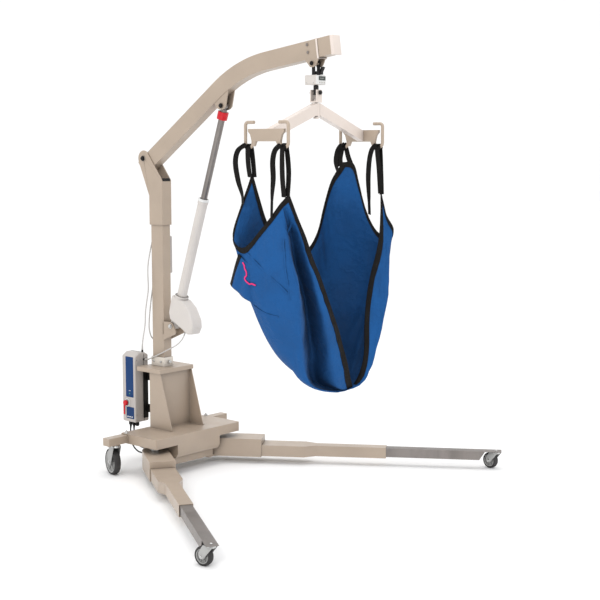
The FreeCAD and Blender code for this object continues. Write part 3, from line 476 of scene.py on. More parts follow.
def block(name, low, high, radius, turn=None, around=None):
    """A box with rounded edges between two corners; turn is a rotation about the point around."""
    build = bmesh.new()
    bmesh.ops.create_cube(build, size=1.0)
    size, middle = high - low, (high + low) / 2
    for vertex in build.verts:
        vertex.co = Vector([c * s for c, s in zip(vertex.co, size)]) + middle
    if radius:
        bmesh.ops.bevel(build, geom=build.edges[:], offset=radius, segments=3, profile=0.5, affect="EDGES")
    if turn is not None:
        bmesh.ops.transform(build, matrix=Matrix.Translation(around) @ turn @ Matrix.Translation(-around),
                            verts=build.verts[:])
    return finished(build, name)


def bolt(name, place, direction, across, height, body, look="bright_steel", washer=True):
    """A hexagon head with a chamfer on a washer, standing on place along direction."""
    r = across / 2
    head = lathe(name, [(0.0, r), (height * 0.8, r), (height, r * 0.84)], place, direction, 6)
    dress(head, body, look, smooth=False)
    if washer:
        rim = [(-0.0002, r * 1.32), (0.0008, r * 1.32), (0.0012, r * 1.24)]
        ring = lathe(name + "_washer", rim, place, direction, 28)
        dress(ring, body, look)
    return head


def socket_screw(name, place, direction, radius, height, body, look="bright_steel"):
    """A round cap screw with a hexagon socket."""
    cap = lathe(name, [(0.0, radius), (height * 0.75, radius), (height, radius * 0.86), (height, radius * 0.5),
                       (height * 0.45, radius * 0.45)], place, direction, 24)
    return dress(cap, body, look)


def ribbon(name, points, across, width, thickness, body, look="webbing", cyclic=False):
    """Webbing of rounded section along points; across is its width direction, one vector or one for each point."""
    across = across if isinstance(across, list) else [across] * len(points)
    half, thin = width / 2, thickness / 2
    top = [(half * share, thin) for share in (-0.93, -0.5, 0.0, 0.5, 0.93)]
    section = [(-half, 0.0), *top, (half, 0.0)] + [(a, -b) for a, b in reversed(top)]
    rings, lengths = [], []
    for index, point in enumerate(points):
        before = points[index - 1] if index or cyclic else point
        after = points[(index + 1) % len(points)] if index + 1 < len(points) or cyclic else point
        tangent = (after - before).normalized()
        side = (across[index] - tangent * across[index].dot(tangent)).normalized()
        normal = tangent.cross(side)
        rings.append([point + side * a + normal * b for a, b in section])
        lengths.append(lengths[-1] + (point - points[index - 1]).length if index else 0.0)
    return dress(skinned(name, rings, cyclic, [a for a, b in section], lengths), body, look)


def smoothed(points, steps):
    """A Catmull-Rom line through the points, with steps pieces between each two."""
    ends = [points[0] * 2 - points[1]] + list(points) + [points[-1] * 2 - points[-2]]
    line = []
    for a, b, c, d in zip(ends, ends[1:], ends[2:], ends[3:]):
        for step in range(steps):
            t = step / steps
            line.append((b * 2 + (c - a) * t + (a * 2 - b * 5 + c * 4 - d) * t * t
                         + (b * 3 - a - c * 3 + d) * t ** 3) / 2)
    line.append(points[-1].copy())
    return line


# ---------------------------------------------------------------- casters

JOINT_OF = {joint["child"]: joint for joint in frame["joints"]}


def make_wheel(name):
    """A rubber tyre on a ribbed nylon centre."""
    joint = JOINT_OF[name + "_wheel"]
    centre, axis = Vector(joint["pos_m"]), Vector(joint["axis"]).normalized()
    radius = centre.z
    half, seat_share = (0.016, 0.87) if name.startswith("rear") else (0.014, 0.78)
    seat = radius * seat_share
    crown = radius - seat
    shape = [(1.0, 0.0), (0.98, 0.42), (0.86, 0.76), (0.6, 0.94), (0.3, 0.99)]
    rim = [(-half * a, seat + crown * b) for a, b in shape] + [(0.0, radius)]
    rim += [(half * a, seat + crown * b) for a, b in reversed(shape)]
    rim += [(half * 0.9, seat - 0.001), (-half * 0.9, seat - 0.001)]
    tyre = dress(lathe(name + "_tyre", rim, centre, axis, 72, ring_shaped=True), name + "_wheel", "tread")
    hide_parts(name + "_wheel")
    web, boss = half * 0.35, half * 0.9
    disc = [(-boss, 0.0055), (-boss, 0.012), (-boss * 0.9, 0.0135), (-web, 0.015), (-web, seat * 0.80),
            (-half * 0.8, seat * 0.86), (-half * 0.88, seat - 0.0012)]
    disc += [(-a, r) for a, r in reversed(disc)]
    dress(lathe(name + "_core", disc, centre, axis, 64), name + "_wheel", "caster_plastic")
    forward = axis.cross(UP).normalized()
    for index, angle in enumerate(circle(6)):
        out = (Matrix.Rotation(angle, 4, axis) @ forward).normalized()
        across = axis.cross(out)
        build = bmesh.new()
        bmesh.ops.create_cube(build, size=1.0)
        for vertex in build.verts:
            x, y, z = vertex.co
            vertex.co = (centre + out * (0.012 + (x + 0.5) * (seat * 0.83 - 0.012)) + across * (y * 0.0028)
                         + axis * (z * half * 1.35))
        rib = finished(build, "%s_rib_%d" % (name, index))
        rib.modifiers.new("edges", "BEVEL").width = 0.0005
        dress(rib, name + "_wheel", "caster_plastic", smooth=False)


def make_caster_trim(name, fork_half, stem_radius):
    wheel, head = JOINT_OF[name + "_wheel"], JOINT_OF[name + "_caster"]
    centre, axis = Vector(wheel["pos_m"]), Vector(wheel["axis"]).normalized()
    body = name + "_caster"
    for side, word in ((1, "left"), (-1, "right")):
        place = centre + axis * (side * fork_half)
        bolt("%s_axle_%s" % (name, word), place, axis * side, 0.013, 0.0045, body)
    top = Vector(head["pos_m"])
    cover = [(-0.0105, stem_radius * 0.62), (-0.0105, stem_radius), (-0.006, stem_radius * 1.12),
             (-0.0015, stem_radius * 1.05), (-0.0008, stem_radius * 0.9)]
    dress(lathe(name + "_swivel_cover", cover, top, UP, 40), body, "bright_steel")


def make_casters():
    for end, fork_half, stem in (("rear_", 0.020, 0.021), ("front_", 0.018, 0.017)):
        for side in ("left", "right"):
            make_wheel(end + side)
            make_caster_trim(end + side, fork_half, stem)


dress_frame()
make_casters()


# ---------------------------------------------------------------- panels, screws and marks


def rounded_panel(name, centre, right, up, width, height, radius, painted_shade_depth, bevel=0.0004):
    """A thin plate with rounded corners; it stands depth above centre, towards right x up."""
    right, up = Vector(right).normalized(), Vector(up).normalized()
    out = right.cross(up)
    rings = []
    for inset, level in ((0.0, -0.0006), (0.0, painted_shade_depth - bevel), (bevel, painted_shade_depth)):
        rings.append([])
        for cx, cy, start in ((1, 1, 0), (-1, 1, 90), (-1, -1, 180), (1, -1, 270)):
            for step in range(6):
                angle = math.radians(start + step * 18)
                a = cx * (width / 2 - radius) + math.cos(angle) * (radius - inset)
                b = cy * (height / 2 - radius) + math.sin(angle) * (radius - inset)
                rings[-1].append(centre + right * a + up * b + out * level)
    return skinned(name, rings)


def marked(name, *shape, body="base"):
    """A thin white mark; shape is what a rounded panel needs."""
    return dress(rounded_panel(name, *shape), body, "white_mark")


def arrow(name, centre, right, up, size, painted_shade_depth):
    """A triangle that points along up, slightly raised, with blunt corners."""
    right, up = Vector(right).normalized(), Vector(up).normalized()
    out = right.cross(up)
    corners = [(0.0, 0.62), (-0.5, -0.32), (0.5, -0.32)]
    outline = []
    for index, (a, b) in enumerate(corners):
        for other in (corners[index - 1], corners[(index + 1) % 3]):
            outline.append((a + (other[0] - a) * 0.12, b + (other[1] - b) * 0.12))
    return skinned(name, [[centre + right * (a * size) + up * (b * size) + out * level for a, b in outline]
                          for level in (-0.0004, painted_shade_depth)])


def weld(name, start, end, radius, body, look="frame_paint"):
    """A painted weld bead: overlapping ripples of slightly uneven size from start to end."""
    axis = (end - start).normalized()
    side = axis.orthogonal().normalized()
    other = axis.cross(side)
    length = (end - start).length
    pitch, step = 0.0042, 0.0007
    rings = []
    for index in range(int(length / step) + 1):
        along = index * step
        ripple = abs(math.sin(math.pi * along / pitch))
        uneven = noise.noise((start + axis * along) * 90) * 0.14
        taper = min(1.0, along / 0.004 + 0.25, (length - along) / 0.004 + 0.25)
        r = radius * taper * (0.80 + 0.2 * ripple + uneven)
        rings.append([start + axis * along + side * (math.cos(a) * r) + other * (math.sin(a) * r)
                      for a in circle(8)])
    return dress(skinned(name, rings), body, look)


BOOM_SLOPE = -7.8


def make_frame_details():
    """Clamp bolts and collar screws, which stand for the plain screws of the frame, and the weld beads."""
    stud = [(0.008, 0.0042), (0.0125, 0.0042), (0.0135, 0.0034)]
    for side, word in SIDES:
        foot = at(30, side * 262, 192)
        top = bolt("clamp_bolt_" + word, foot, UP, 0.017, 0.0085, "base")
        dress(lathe("clamp_stud_" + word, stud, foot, UP, 18), "base", "bright_steel")
        bolt("rear_bolt_" + word, at(5, side * 258, 168), -FRONT, 0.015, 0.008, "base")
        if side == -1:
            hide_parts("frame_screws")
    for number, x in enumerate((-26, 26)):
        socket_screw("collar_screw_right_%d" % number, at(x, -31.5, 504), RIGHT, 0.0052, 0.0046, "base")
    neck = [(0.0, 0.0045), (0.003, 0.0045), (0.0032, 0.0075), (0.0042, 0.0082), (0.0098, 0.0082),
            (0.011, 0.0072), (0.0112, 0.003), (0.009, 0.0028)]
    for end in (-1, 1):
        knob = lathe("collar_knob_%d" % (end + 1), neck, at(end * 47, 0, 504), FRONT * end, 26)
        dress(knob, "base", "bright_steel")
    beads = (("gusset", (24, 112, 192.6), (174, 112, 192.6), 0.0026),
             ("gusset_inner", (88, 100, 192.6), (172, 100, 192.6), 0.0022),
             ("front", (85.5, 100.5, 198), (85.5, 100.5, 458), 0.0020),
             ("mast", (-39, 24.8, 192.8), (39, 24.8, 192.8), 0.0022),
             ("head", (-43, 30, 1166.5), (43, 30, 1166.5), 0.0016),
             ("arm", (54.4, 277, 150), (54.4, 277, 186), 0.0020))
    for side in (-1, 1):
        for name, start, end, radius in beads:
            ends = [at(x, side * y, z) for x, y, z in (start, end)]
            weld("weld_%s_%d" % (name, side + 1), *ends, radius, "base")
    weld("weld_plate", at(85.5, -99, 192.8), at(85.5, 99, 192.8), 0.0024, "base")
    weld("weld_bracket_front", at(40.5, -32, 640), at(40.5, -32, 700), 0.0018, "base")


def make_pivot_details():
    head = [(0.0, 0.0088), (0.0035, 0.0095), (0.006, 0.0085), (0.0078, 0.0052), (0.0082, 0.001)]
    dome = [(0.0, 0.0058), (0.0016, 0.0055), (0.0032, 0.0040), (0.0040, 0.0012)]
    bolts = (("boom_pivot_head_", (-82, 35, 1482), 0.019, 0.0085, "boom", "black_plastic"),
             ("rod_bolt_", (440, 27, 1722), 0.017, 0.0075, "boom", "black_plastic"),
             ("motor_bolt_", (94, 33, 684), 0.017, 0.0070, "base", "bright_steel"),
             ("hanger_bolt_", (984, 30, 1888), 0.014, 0.0065, "boom", "black_plastic"))
    for side, word in SIDES:
        for name, (x, y, z), across, height, body, look in bolts:
            bolt(name + word, at(x, side * y, z), Vector((0, side, 0)), across, height, body, look)
        nut = lathe("stem_nut_" + word, dome, at(1303.3, side * 960.1, 89), UP, 22)
        dress(nut, "leg_" + word, "bright_steel")
    dress(lathe("yoke_pin_head", head, at(1006, 0, 1766), FRONT, 28), "yoke", "black_plastic")
    dress(lathe("yoke_pin_end", head, at(962, 0, 1766), -FRONT, 28), "yoke", "black_plastic")


def make_boom_details():
    """The end piece's pale seam, its pale plastic cap and the two grub screws that hold it."""
    turn = Matrix.Rotation(math.radians(BOOM_SLOPE), 3, "Y")
    for side, word in SIDES:
        for x, z in ((956, 1966), (961, 1934)):
            socket_screw("boom_screw_%s_%d" % (word, x), at(x, side * 28, z), Vector((0, side, 0)), 0.0061,
                         0.0006, "boom", "bare_steel")
    mouth = at(1012, 0, 1948.6)
    half, tall, band = 0.0268, 0.0405, 0.009
    corners = ((0.0, 1.0), (0.9, 1.0), (1.0, 0.9), (1.0, -0.9), (0.9, -1.0), (-0.9, -1.0), (-1.0, -0.9),
               (-1.0, 0.9), (-0.9, 1.0))
    loop = smoothed([mouth + turn @ Vector((0, half * a, tall * b)) for a, b in corners], 3)
    ribbon("boom_seam", loop, turn @ FRONT, band, 0.0018, "boom", "spreader_paint", cyclic=True)
    centre, reach = at(1091, 0, 1959.5), Vector((0.0075, 0.0258, 0.0408))
    dress(block("boom_cap", centre - reach, centre + reach, 0.002, turn.to_4x4(), centre), "boom",
          "spreader_paint")


def make_scale_details():
    cover = rounded_panel("scale_cover", at(1011, 0, 1818.5), LEFT_SIDE, UP, 0.0625, 0.0375, 0.005, 0.0012)
    dress(cover, "hanger", "white_mark")
    window = rounded_panel("scale_window", at(1012.2, 6.5, 1825.3), LEFT_SIDE, UP, 0.044, 0.0175, 0.0018, 0.0008)
    dress(window, "hanger", "lcd")
    for number, y in enumerate((-4, 4, 12)):
        marked("scale_dash_%d" % number, at(1013.0, y, 1825.3), LEFT_SIDE, UP, 0.0052, 0.0012, 0.0005, 0.0003,
               0.0001, body="hanger")
    cap = [(0.0, 0.0036), (0.0008, 0.0036), (0.0013, 0.0029)]
    for number, y in enumerate((-8, 6, 20)):
        dress(lathe("scale_button_%d" % number, cap, at(1012.2, y, 1807.5), FRONT, 24), "hanger", "case_plastic")
    for side, word in SIDES:
        plate = rounded_panel("scale_side_" + word, at(979.5, side * 33, 1818.5), FRONT * -side, UP, 0.052, 0.031,
                              0.004, 0.0007)
        dress(plate, "hanger", "light_plastic")
        for x in (960, 999):
            socket_screw("scale_screw_%s_%d" % (word, x), at(x, side * 33.7, 1806.5), LEFT_SIDE * side, 0.0021,
                         0.0007, "hanger")


def make_control_details():
    """Blue panels with generic marks, the ring round the stop button, the pull strip, plug collars and the seam."""
    face = -98
    for name, x, z, wide, tall in (("upper", -131, 420, 0.056, 0.200), ("lower", -129, 242, 0.056, 0.058)):
        panel = rounded_panel("control_panel_" + name, at(x, face, z), FRONT, UP, wide, tall, 0.004, 0.0006)
        dress(panel, "base", "blue_panel")
    lamp = [(0.0, 0.0032), (0.0012, 0.0030), (0.0020, 0.0018)]
    dress(lathe("control_lamp", lamp, at(-131, face - 0.6, 338), RIGHT, 20), "base", "green_mark")
    marked("control_dash", at(-131, face - 0.6, 352), FRONT, UP, 0.012, 0.0022, 0.001, 0.0003, 0.0001)
    for number, x in enumerate((-146, -131, -116)):
        marked("control_mark_%d" % number, at(x, face - 0.6, 222), FRONT, UP, 0.009, 0.0055, 0.0016, 0.0003,
               0.0001)
    strip = rounded_panel("control_pull_strip", at(-172, face, 257), FRONT, UP, 0.011, 0.056, 0.003, 0.0022)
    dress(strip, "base", "red_plastic")
    ring = [(0.0, 0.0205), (0.0014, 0.0205), (0.0022, 0.0198), (0.0022, 0.0158), (0.0, 0.0152)]
    ring = lathe("control_ring", ring, at(-150, face, 291), RIGHT, 48, ring_shaped=True)
    dress(ring, "base", "white_mark")
    grip = [(0.0, 0.0131), (0.0008, 0.0138), (0.0075, 0.0138), (0.0098, 0.0125), (0.0112, 0.0088), (0.0116, 0.002)]
    button = lathe("stop_button_cap", grip, at(-150, face - 8, 291), RIGHT, 40)
    dress(button, "stop_button", "red_plastic")
    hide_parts("stop_button")
    stem = [(-0.016, 0.0084), (0.002, 0.0084)]
    dress(lathe("stop_button_stem", stem, at(-150, face - 8, 291), RIGHT, 28), "stop_button", "red_plastic")
    collar = [(0.0, 0.0105)]
    for rib in range(4):
        start = rib * 0.0042
        collar += [(0.002 + start, 0.0105), (0.0026 + start, 0.0095), (0.0048 + start, 0.0095)]
    collar += [(0.0195, 0.0105), (0.021, 0.0088)]
    for number, x in enumerate((-170, -146, -122)):
        dress(lathe("plug_collar_%d" % number, collar, at(x, -60, 196), -UP, 28), "base", "black_plastic")
    for z, number in ((232, 1), (505, 2)):
        for y in (-86, -58):
            socket_screw("control_screw_%d_%d" % (number, -y), at(-91, y, z), FRONT, 0.0032, 0.0014, "base")
    outline = ((-186.3, 202), (-186.3, 530), (-184, 537.5), (-179, 540.3), (-98, 540.3), (-93, 537.5),
               (-90.7, 530), (-90.7, 202), (-93, 198.5), (-98, 195.7), (-179, 195.7), (-184, 198.5))
    seam = [at(x, -42, z) for x, z in outline]
    ribbon("control_seam", seam, LEFT_SIDE, 0.0016, 0.0006, "base", "black_plastic", cyclic=True)


def make_handset_details():
    """Rims round the keys, arrows on them for the boom and the legs, a panel and a lamp."""
    face = 56.5
    rim = ((1, 0), (0.98, 0.8), (0.8, 0.98), (0, 1), (-0.8, 0.98), (-0.98, 0.8), (-1, 0), (-0.98, -0.8),
           (-0.8, -0.98), (0, -1), (0.8, -0.98), (0.98, -0.8))
    for z, word in ((1062, "lift"), (1020, "leg")):
        outline = smoothed([at(-6 + 20 * a, face + 0.4, z + 16 * b) for a, b in rim], 3)[:-1]
        ribbon("handset_rim_" + word, outline, LEFT_SIDE, 0.0014, 0.0022, "base", "case_plastic", cyclic=True)
        for x, way in ((-15, 1), (3, -1)):
            mark = arrow("handset_arrow_%s_%d" % (word, x + 20), at(x, face + 2.5, z), -FRONT * way, UP * way,
                         0.0085, 0.0004)
            dress(mark, "handset_%s_key" % word, "white_mark")
    plate = rounded_panel("handset_plate", at(-6, face, 960), -FRONT, UP, 0.036, 0.030, 0.004, 0.0006)
    dress(plate, "base", "blue_panel")
    lamp = [(0.0, 0.0022), (0.0012, 0.0020), (0.0018, 0.0012)]
    dress(lathe("handset_lamp", lamp, at(-6, face, 1092), LEFT_SIDE, 18), "base", "green_mark")


def make_motor_details():
    """The rings and the seal of the motor's tube, and the grip of the lowering collar."""
    along = (at(440, 0, 1722) - at(94, 0, 684)).normalized()
    foot = at(94, 0, 684)
    ring = [(0.6360, 0.0236), (0.6365, 0.0262), (0.6440, 0.0266), (0.6468, 0.0256), (0.6474, 0.0220),
            (0.6474, 0.0158), (0.6452, 0.0155)]
    dress(lathe("tube_end_ring", ring, foot, along, 44), "actuator", "white_mark")
    seal = [(0.6466, 0.0192), (0.6478, 0.0190), (0.6482, 0.0172), (0.6482, 0.0153), (0.6466, 0.0153)]
    dress(lathe("tube_seal", seal, foot, along, 40, ring_shaped=True), "actuator", "black_plastic")
    neck = [(0.1502, 0.0325), (0.1512, 0.0334), (0.1568, 0.0334), (0.1580, 0.0322), (0.1580, 0.0232),
            (0.1502, 0.0232)]
    dress(lathe("tube_neck_ring", neck, foot, along, 44, ring_shaped=True), "actuator", "light_plastic")
    ribs = [(1.0335 + k * 0.006, r) for k in range(1, 6) for r in (0.0244, 0.0250, 0.0244)]
    grip = [(1.0305, 0.0242)] + [(a + (i % 3) * 0.0012, r) for i, (a, r) in enumerate(ribs)] + [(1.0655, 0.0242)]
    grip += [(1.0655, 0.0238), (1.0305, 0.0238)]
    dress(lathe("collar_grip", grip, foot, along, 44, ring_shaped=True), "lowering_collar", "red_plastic")


make_frame_details()
make_pivot_details()
make_boom_details()
make_scale_details()
make_control_details()
make_handset_details()
make_motor_details()


# ---------------------------------------------------------------- sling
# Rows run from the rear edge to the front edge; the first row is the near side's edge, the last the far side's.
# Places are in millimetres: forward from the boom's hanging point, to the left, up.

HANG_X = 984
HOOK_Z = 1541.5
PLEAT = (40, 48, 56)        # columns of the grid that hold the folds
FALL_SHARE = 0.3            # how far the simulated cloth pulls the drawn one towards it
SLING_ROWS = [
    [(-90, -296, 1432), (-153, -304, 1296), (-184, -318, 1160), (-118, -324, 1118), (-28, -311, 1200),
     (58, -301, 1298), (78, -299, 1318), (94, -297, 1334), (107, -296, 1348)],
    [(-112, -240, 1330), (-160, -285, 1180), (-150, -320, 1050), (-85, -325, 1000), (0, -318, 1060),
     (103, -300, 1137), (62, -228, 1135), (120, -222, 1138), (129, -199, 1140)],
    [(-126, -175, 1225), (-170, -235, 1050), (-120, -290, 905), (-45, -298, 860), (40, -288, 880),
     (138, -262, 919), (47, -135, 911), (137, -147, 920), (142, -91, 922)],
    [(-125, -80, 1110), (-160, -140, 900), (-95, -210, 730), (-18, -228, 690), (50, -222, 690),
     (104, -204, 715), (25, -63, 694), (133, -67, 698), (150, 5, 690)],
    [(-122, 20, 1070), (-140, -10, 830), (-80, -70, 610), (0, -130, 580), (40, -130, 545),
     (72, -118, 540), (11, -10, 520), (106, 17, 516), (132, 88, 520)],
    [(-122, 90, 1090), (-130, 80, 840), (-70, 60, 610), (20, 50, 520), (70, 45, 492),
     (105, 50, 488), (125, 75, 492), (135, 110, 498), (118, 122, 505)],
    [(-126, 160, 1160), (-128, 170, 930), (-65, 180, 740), (10, 190, 640), (80, 195, 590),
     (140, 190, 570), (172, 178, 560), (168, 165, 580), (140, 155, 610)],
    [(-140, 215, 1260), (-125, 245, 1060), (-60, 262, 900), (15, 275, 830), (90, 282, 800),
     (160, 285, 815), (200, 295, 860), (150, 255, 850), (106, 225, 885)],
    [(-138, 262, 1375), (-105, 290, 1200), (-50, 312, 1080), (15, 325, 1030), (85, 330, 1010),
     (140, 328, 1040), (165, 320, 1070), (155, 295, 1110), (139, 268, 1150)],
    [(-98, 296, 1468), (-42, 302, 1462), (-10, 306, 1380), (20, 316, 1260), (70, 332, 1170),
     (130, 340, 1140), (166, 334, 1180), (143, 312, 1245), (122, 297, 1345)]]
FLAP_ROWS = [
    [(-146, -326, 1092), (-122, -328, 1074), (-86, -322, 1052), (-52, -300, 1036)],
    [(-180, -324, 1020), (-132, -332, 1000), (-78, -322, 985), (-40, -286, 965)],
    [(-204, -320, 962), (-148, -326, 925), (-88, -306, 885), (-50, -262, 852)]]
# Webbing over each hook: a loop sewn to the peak, then a spare loop that hangs beside it.
WEBBING = {
    "near_rear": (
        [(-104, -300, 1412), (-100, -314, 1470), (-99, -318, 1530), (-97, -311, 1549), (-96, -300, 1540),
         (-90, -297, 1490), (-84, -293, 1412)],
        [(-97, -306, 1546), (-110, -322, 1544), (-146, -327, 1522), (-162, -326, 1474), (-154, -320, 1402),
         (-138, -312, 1340), (-140, -306, 1300)]),
    "near_front": (
        [(88, -302, 1334), (92, -316, 1430), (95, -319, 1528), (97, -311, 1549), (99, -299, 1540),
         (108, -295, 1440), (104, -297, 1338)],
        [(94, -306, 1546), (84, -320, 1543), (60, -325, 1522), (48, -325, 1478), (46, -320, 1410), (34, -314, 1340),
         (26, -309, 1252)]),
    "far_rear": (
        [(-104, 292, 1452), (-112, 300, 1490), (-104, 306, 1534), (-97, 309, 1551), (-90, 312, 1534),
         (-74, 310, 1490), (-52, 304, 1456)],
        [(-97, 306, 1546), (-108, 298, 1542), (-122, 292, 1520), (-128, 288, 1480), (-122, 286, 1446),
         (-112, 284, 1418)]),
    "far_front": (
        [(116, 300, 1334), (104, 305, 1440), (96, 300, 1530), (97, 309, 1550), (100, 317, 1530), (112, 308, 1440),
         (124, 300, 1330)],
        [(97, 306, 1546), (90, 298, 1544), (70, 296, 1524), (56, 297, 1478), (48, 300, 1400), (48, 306, 1310),
         (44, 316, 1238)])}


def hung_at(place):
    x, y, z = place
    return at(HANG_X + x, y, z)


def surface_of(rows, row_steps, column_steps):
    """A smooth grid of points through the rows' places: grid[i][j], i across the rows and j along them."""
    fine_rows = [smoothed([hung_at(place) for place in row], column_steps) for row in rows]
    columns = [smoothed([row[j] for row in fine_rows], row_steps) for j in range(len(fine_rows[0]))]
    return [[column[i] for column in columns] for i in range(len(columns[0]))]


def sheet_mesh(name, grid):
    """A cloth mesh over the grid, with a UV map in metres that follows the cloth's own lengths."""
    build = bmesh.new()
    flat = build.loops.layers.uv.new("flat")
    vertices = [[build.verts.new(point) for point in row] for row in grid]
    middle_row, middle_column = grid[len(grid) // 2], [row[len(grid[0]) // 2] for row in grid]
    over, down = ([0.0] + [length_of(line[:end]) for end in range(2, len(line) + 1)]
                  for line in (middle_row, middle_column))
    for i in range(len(grid) - 1):
        for j in range(len(grid[0]) - 1):
            corners = ((i, j), (i, j + 1), (i + 1, j + 1), (i + 1, j))
            face = build.faces.new([vertices[a][b] for a, b in corners])
            for loop, (a, b) in zip(face.loops, corners):
                loop[flat].uv = (over[b], down[a])
    data = bpy.data.meshes.new(name)
    build.to_mesh(data)
    build.free()
    return linked(name, data)


def fall(piece, held, frames, slack):
    """Cloth simulation of a sheet that is held at some of its points, applied to the mesh."""
    group = piece.vertex_groups.new(name="held")
    for index, weight in held.items():
        group.add([index], weight, "REPLACE")
    cloth = piece.modifiers.new("cloth", "CLOTH")
    choices = dict(quality=8, mass=0.25, tension_stiffness=18, compression_stiffness=18, shear_stiffness=6,
                   bending_stiffness=0.6, air_damping=3, vertex_group_mass="held", pin_stiffness=12,
                   shrink_min=-slack)
    for choice, value in choices.items():
        setattr(cloth.settings, choice, value)
    cloth.collision_settings.use_collision = False
    cloth.collision_settings.use_self_collision = True
    cloth.collision_settings.self_distance_min = 0.004
    cloth.point_cache.frame_start = 1
    cloth.point_cache.frame_end = frames
    scene = bpy.context.scene
    for number in range(1, frames + 1):
        scene.frame_set(number)
    view = bpy.context.evaluated_depsgraph_get()
    result = bpy.data.meshes.new_from_object(piece.evaluated_get(view))
    piece.modifiers.remove(cloth)
    old = piece.data
    piece.data = result
    bpy.data.meshes.remove(old)
    piece.vertex_groups.clear()
    scene.frame_set(1)


def squashed(piece):
    """Gives the piece its own copy of its mesh and returns it."""
    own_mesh(piece)
    return piece


def thick_cloth(piece):
    piece.data.shade_smooth()
    solid = piece.modifiers.new("cloth_thickness", "SOLIDIFY")
    solid.thickness = 0.0016
    solid.offset = 0
    return dress(piece, "spreader", "sling_fabric", smooth=False)


def bound(name, lines, width=0.024, thickness=0.0028):
    """Binding tape folded over an edge of the cloth; each line starts on the edge and runs into the cloth."""
    steps = (1.0, 0.97, 0.75, 0.5, 0.25, 0.0)
    raised = (0.15, 1.0, 1.0, 1.0, 1.0, 0.8)
    rings, lengths = [], []
    for index, line in enumerate(lines):
        before, after = lines[max(index - 1, 0)][0], lines[min(index + 1, len(lines) - 1)][0]
        tangent = (after - before).normalized()
        inner = [walked(line, width * step) for step in steps]
        normal = tangent.cross(inner[0] - line[0]).normalized()
        front = [point + normal * (thickness * share) for point, share in zip(inner, raised)]
        back = [point - normal * (thickness * share) for point, share in zip(inner, raised)]
        lip = line[0] + (line[0] - inner[-2]).normalized() * thickness * 0.7
        rings.append(front + [lip] + back[::-1])
        lengths.append(lengths[-1] + (line[0] - lines[index - 1][0]).length if index else 0.0)
    count = len(rings[0])
    widths = [abs(place - count // 2) * width / len(steps) for place in range(count)]
    return squashed(dress(skinned(name, rings, False, widths, lengths), "spreader", "webbing"))


def walked(line, distance):
    """The point at the given distance along a line of points."""
    for start, end in zip(line, line[1:]):
        step = (end - start).length
        if distance <= step:
            return start.lerp(end, distance / step)
        distance -= step
    return line[-1].copy()


def make_webbing(name, main, spare):
    """Both loops of one hook; the spare one twists so that it lies flat against the binding at its end."""
    line = smoothed([hung_at(place) for place in main], 8)
    across = [Vector((1, 0.12 * math.sin(index / 5), 0)) for index in range(len(line))]
    made = [ribbon("strap_" + name, line, across, 0.025, 0.0022, "spreader")]
    line = smoothed([hung_at(place) for place in spare], 8)
    count = len(line) - 1
    across = [(Matrix.Rotation(math.radians(70 * math.sin(math.pi * min(1, index / count * 1.15)) - 20), 3, "Z")
               @ FRONT) for index in range(count + 1)]
    made.append(ribbon("spare_" + name, line, across, 0.022, 0.0020, "spreader"))
    x = main[3][0] - (2 if "rear" in name else -2)
    middle = hung_at((x, main[3][1] + (2 if "near" in name else 0), HOOK_Z - 6))
    wrap = [middle + Vector((0, 9 * math.cos(a) / 1000, 9 * math.sin(a) / 1000)) for a in circle(20)]
    made.append(ribbon("turns_" + name, wrap, Vector((1, 0.1, 0)), 0.029, 0.0034, "spreader", cyclic=True))
    return [squashed(piece) for piece in made]


def make_flap():
    """The end of the back panel, which hangs outside the near side below the arm opening."""
    grid = surface_of(FLAP_ROWS, 8, 8)
    for i, row in enumerate(grid):
        for j, point in enumerate(row):
            point.y += 0.004 * math.sin(j * 0.75 + i * 0.15) * min(1, i / 8)
    piece = sheet_mesh("sling_flap", grid)
    tape = bound("sling_flap_binding", [row[:8] for row in grid], 0.022)
    squashed(thick_cloth(piece))


def crumple(place):
    """A small offset that gives the cloth its sharp little creases and slow waves."""
    slow = noise.noise(place * 7.0) * 0.006
    crease = (1 - abs(noise.noise(Vector((place.x * 9, place.y * 9, place.z * 5)))) * 2) ** 3 * 0.005
    return Vector((slow * 0.5 + crease * 0.6, slow - crease * 0.7, 0))


def make_sling():
    grid = surface_of(SLING_ROWS, 8, 8)
    across, along = len(grid), len(grid[0])
    piece = sheet_mesh("sling_cloth", grid)
    held = {}
    for i in range(across):
        for j in range(along):
            rim = min(i, across - 1 - i, j, along - 1 - j)
            fold = j in PLEAT and 4 < i < 36
            held[i * along + j] = 1.0 if rim < 2 else 0.7 if fold else 0.03
    made = [vertex.co.copy() for vertex in piece.data.vertices]
    fall(piece, held, 24, 0.03)
    for vertex, start in zip(piece.data.vertices, made):
        vertex.co = start.lerp(vertex.co, FALL_SHARE) + crumple(start)
    points = [vertex.co.copy() for vertex in piece.data.vertices]
    grid = [points[i * along:(i + 1) * along] for i in range(across)]
    columns = [[row[j] for row in grid] for j in range(along)]
    near = bound("sling_binding_near", [column[:8] for column in columns])
    far = bound("sling_binding_far", [column[::-1][:8] for column in columns])
    rear = bound("sling_binding_rear", [row[:8] for row in grid])
    front = bound("sling_binding_front", [row[::-1][:8] for row in grid], 0.029)
    thick_cloth(piece)
    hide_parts("sling", "sling_straps")
    straps = [strap for name, (main, spare) in WEBBING.items() for strap in make_webbing(name, main, spare)]
    squashed(piece)


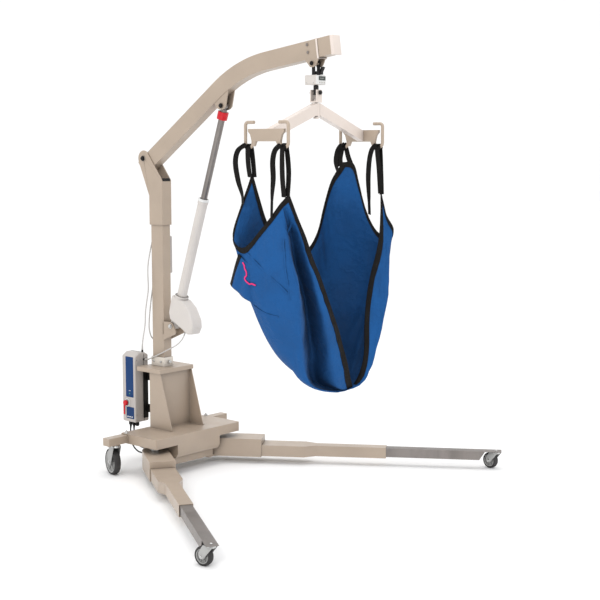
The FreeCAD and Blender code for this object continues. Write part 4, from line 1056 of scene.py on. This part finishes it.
def make_seams():
    """Stitched folds on the near wall and a loose stitched thread, laid on the cloth as seen from the right."""
    bpy.context.view_layer.update()
    trees = [BVHTree.FromPolygons([v.co for v in piece.data.vertices], [p.vertices for p in piece.data.polygons])
             for piece in (bpy.data.objects["sling_cloth"], bpy.data.objects["sling_flap"])]

    def laid(x, z, lift):
        start = at(HANG_X + x, -700, z)
        hits = [hit for hit in (tree.ray_cast(start, LEFT_SIDE) for tree in trees) if hit[0]]
        near = min(hits, key=lambda hit: hit[3])
        normal = near[1] if near[1].y < 0 else -near[1]
        return near[0] + normal * lift, normal

    seams = {
        "seam_upright": ([(88, 1290), (90, 1225), (92, 1161), (95, 1100), (97, 1038), (100, 975), (104, 915)], 0.007),
        "seam_slanted": ([(-100, 1098), (-60, 1070), (-20, 1040), (30, 1000), (66, 972), (98, 940)], 0.007),
        "seam_low": ([(-128, 908), (-90, 880), (-50, 862), (-6, 846), (40, 838)], 0.006)}
    for name, (places, width) in seams.items():
        spots = [laid(x, z, 0.0016) for x, z in places]
        line = smoothed([place for place, normal in spots], 10)
        middle = sum((normal for place, normal in spots), Vector()).normalized()
        across = [(b - a).cross(middle) for a, b in zip(line, line[1:])]
        squashed(ribbon(name, line, across + across[-1:], width, 0.0016, "spreader", "sling_fabric"))
    thread = [(-119, 1058), (-110, 1046), (-106, 1033), (-97, 1020), (-95, 1005), (-103, 994), (-98, 982),
              (-84, 970), (-66, 972), (-50, 966)]
    line = smoothed([laid(x, z, 0.003)[0] for x, z in thread], 6)
    across = [(b - a).cross(RIGHT) for a, b in zip(line, line[1:])]
    thread = ribbon("loose_thread", line, across + across[-1:], 0.0065, 0.0022, "spreader")
    squashed(dress(thread, "spreader", "pink_thread"))


make_sling()
make_flap()
make_seams()


# ---------------------------------------------------------------- floor, light


def make_studio():
    material, tree, bsdf = new_material("studio_floor")
    fill(tree, bsdf, Base_Color=(0.97, 0.97, 0.97, 1), Roughness=0.8, Specular_IOR_Level=0.1)
    build = bmesh.new()
    profile = [(-9.0, 0.0), (5.0, 0.0), (6.4, 0.25), (7.4, 1.0), (7.8, 2.4), (7.8, 9.0)]
    turn = Matrix.Rotation(math.radians(VIEW_TURN), 3, "Z")
    left, right = ([build.verts.new(turn @ Vector((side, painted_shade_depth, height))) for painted_shade_depth, height in profile]
                   for side in (-14.0, 14.0))
    for corners in zip(left, right, right[1:], left[1:]):
        build.faces.new(corners)
    floor = finished(build, "studio")
    floor.data.shade_smooth()
    floor.data.materials.append(material)
    lamps = (("key", (2.6, -5.0, 3.6), 1.6, 75), ("top", (0.2, 0.4, 5.5), 3.0, 70))
    for name, place, size, power in lamps:
        light = bpy.data.lights.new(name, "AREA")
        light.shape = "SQUARE"
        light.size = size
        light.energy = power
        lamp = linked(name, light)
        lamp.location = place
        lamp.rotation_euler = (Vector((0, 0, 0.9)) - Vector(place)).to_track_quat("-Z", "Y").to_euler()
    world = bpy.data.worlds.new("studio")
    world.use_nodes = True
    world.node_tree.nodes["Background"].inputs["Color"].default_value = (1, 1, 1, 1)
    world.node_tree.nodes["Background"].inputs["Strength"].default_value = 1.0
    bpy.context.scene.world = world


make_studio()
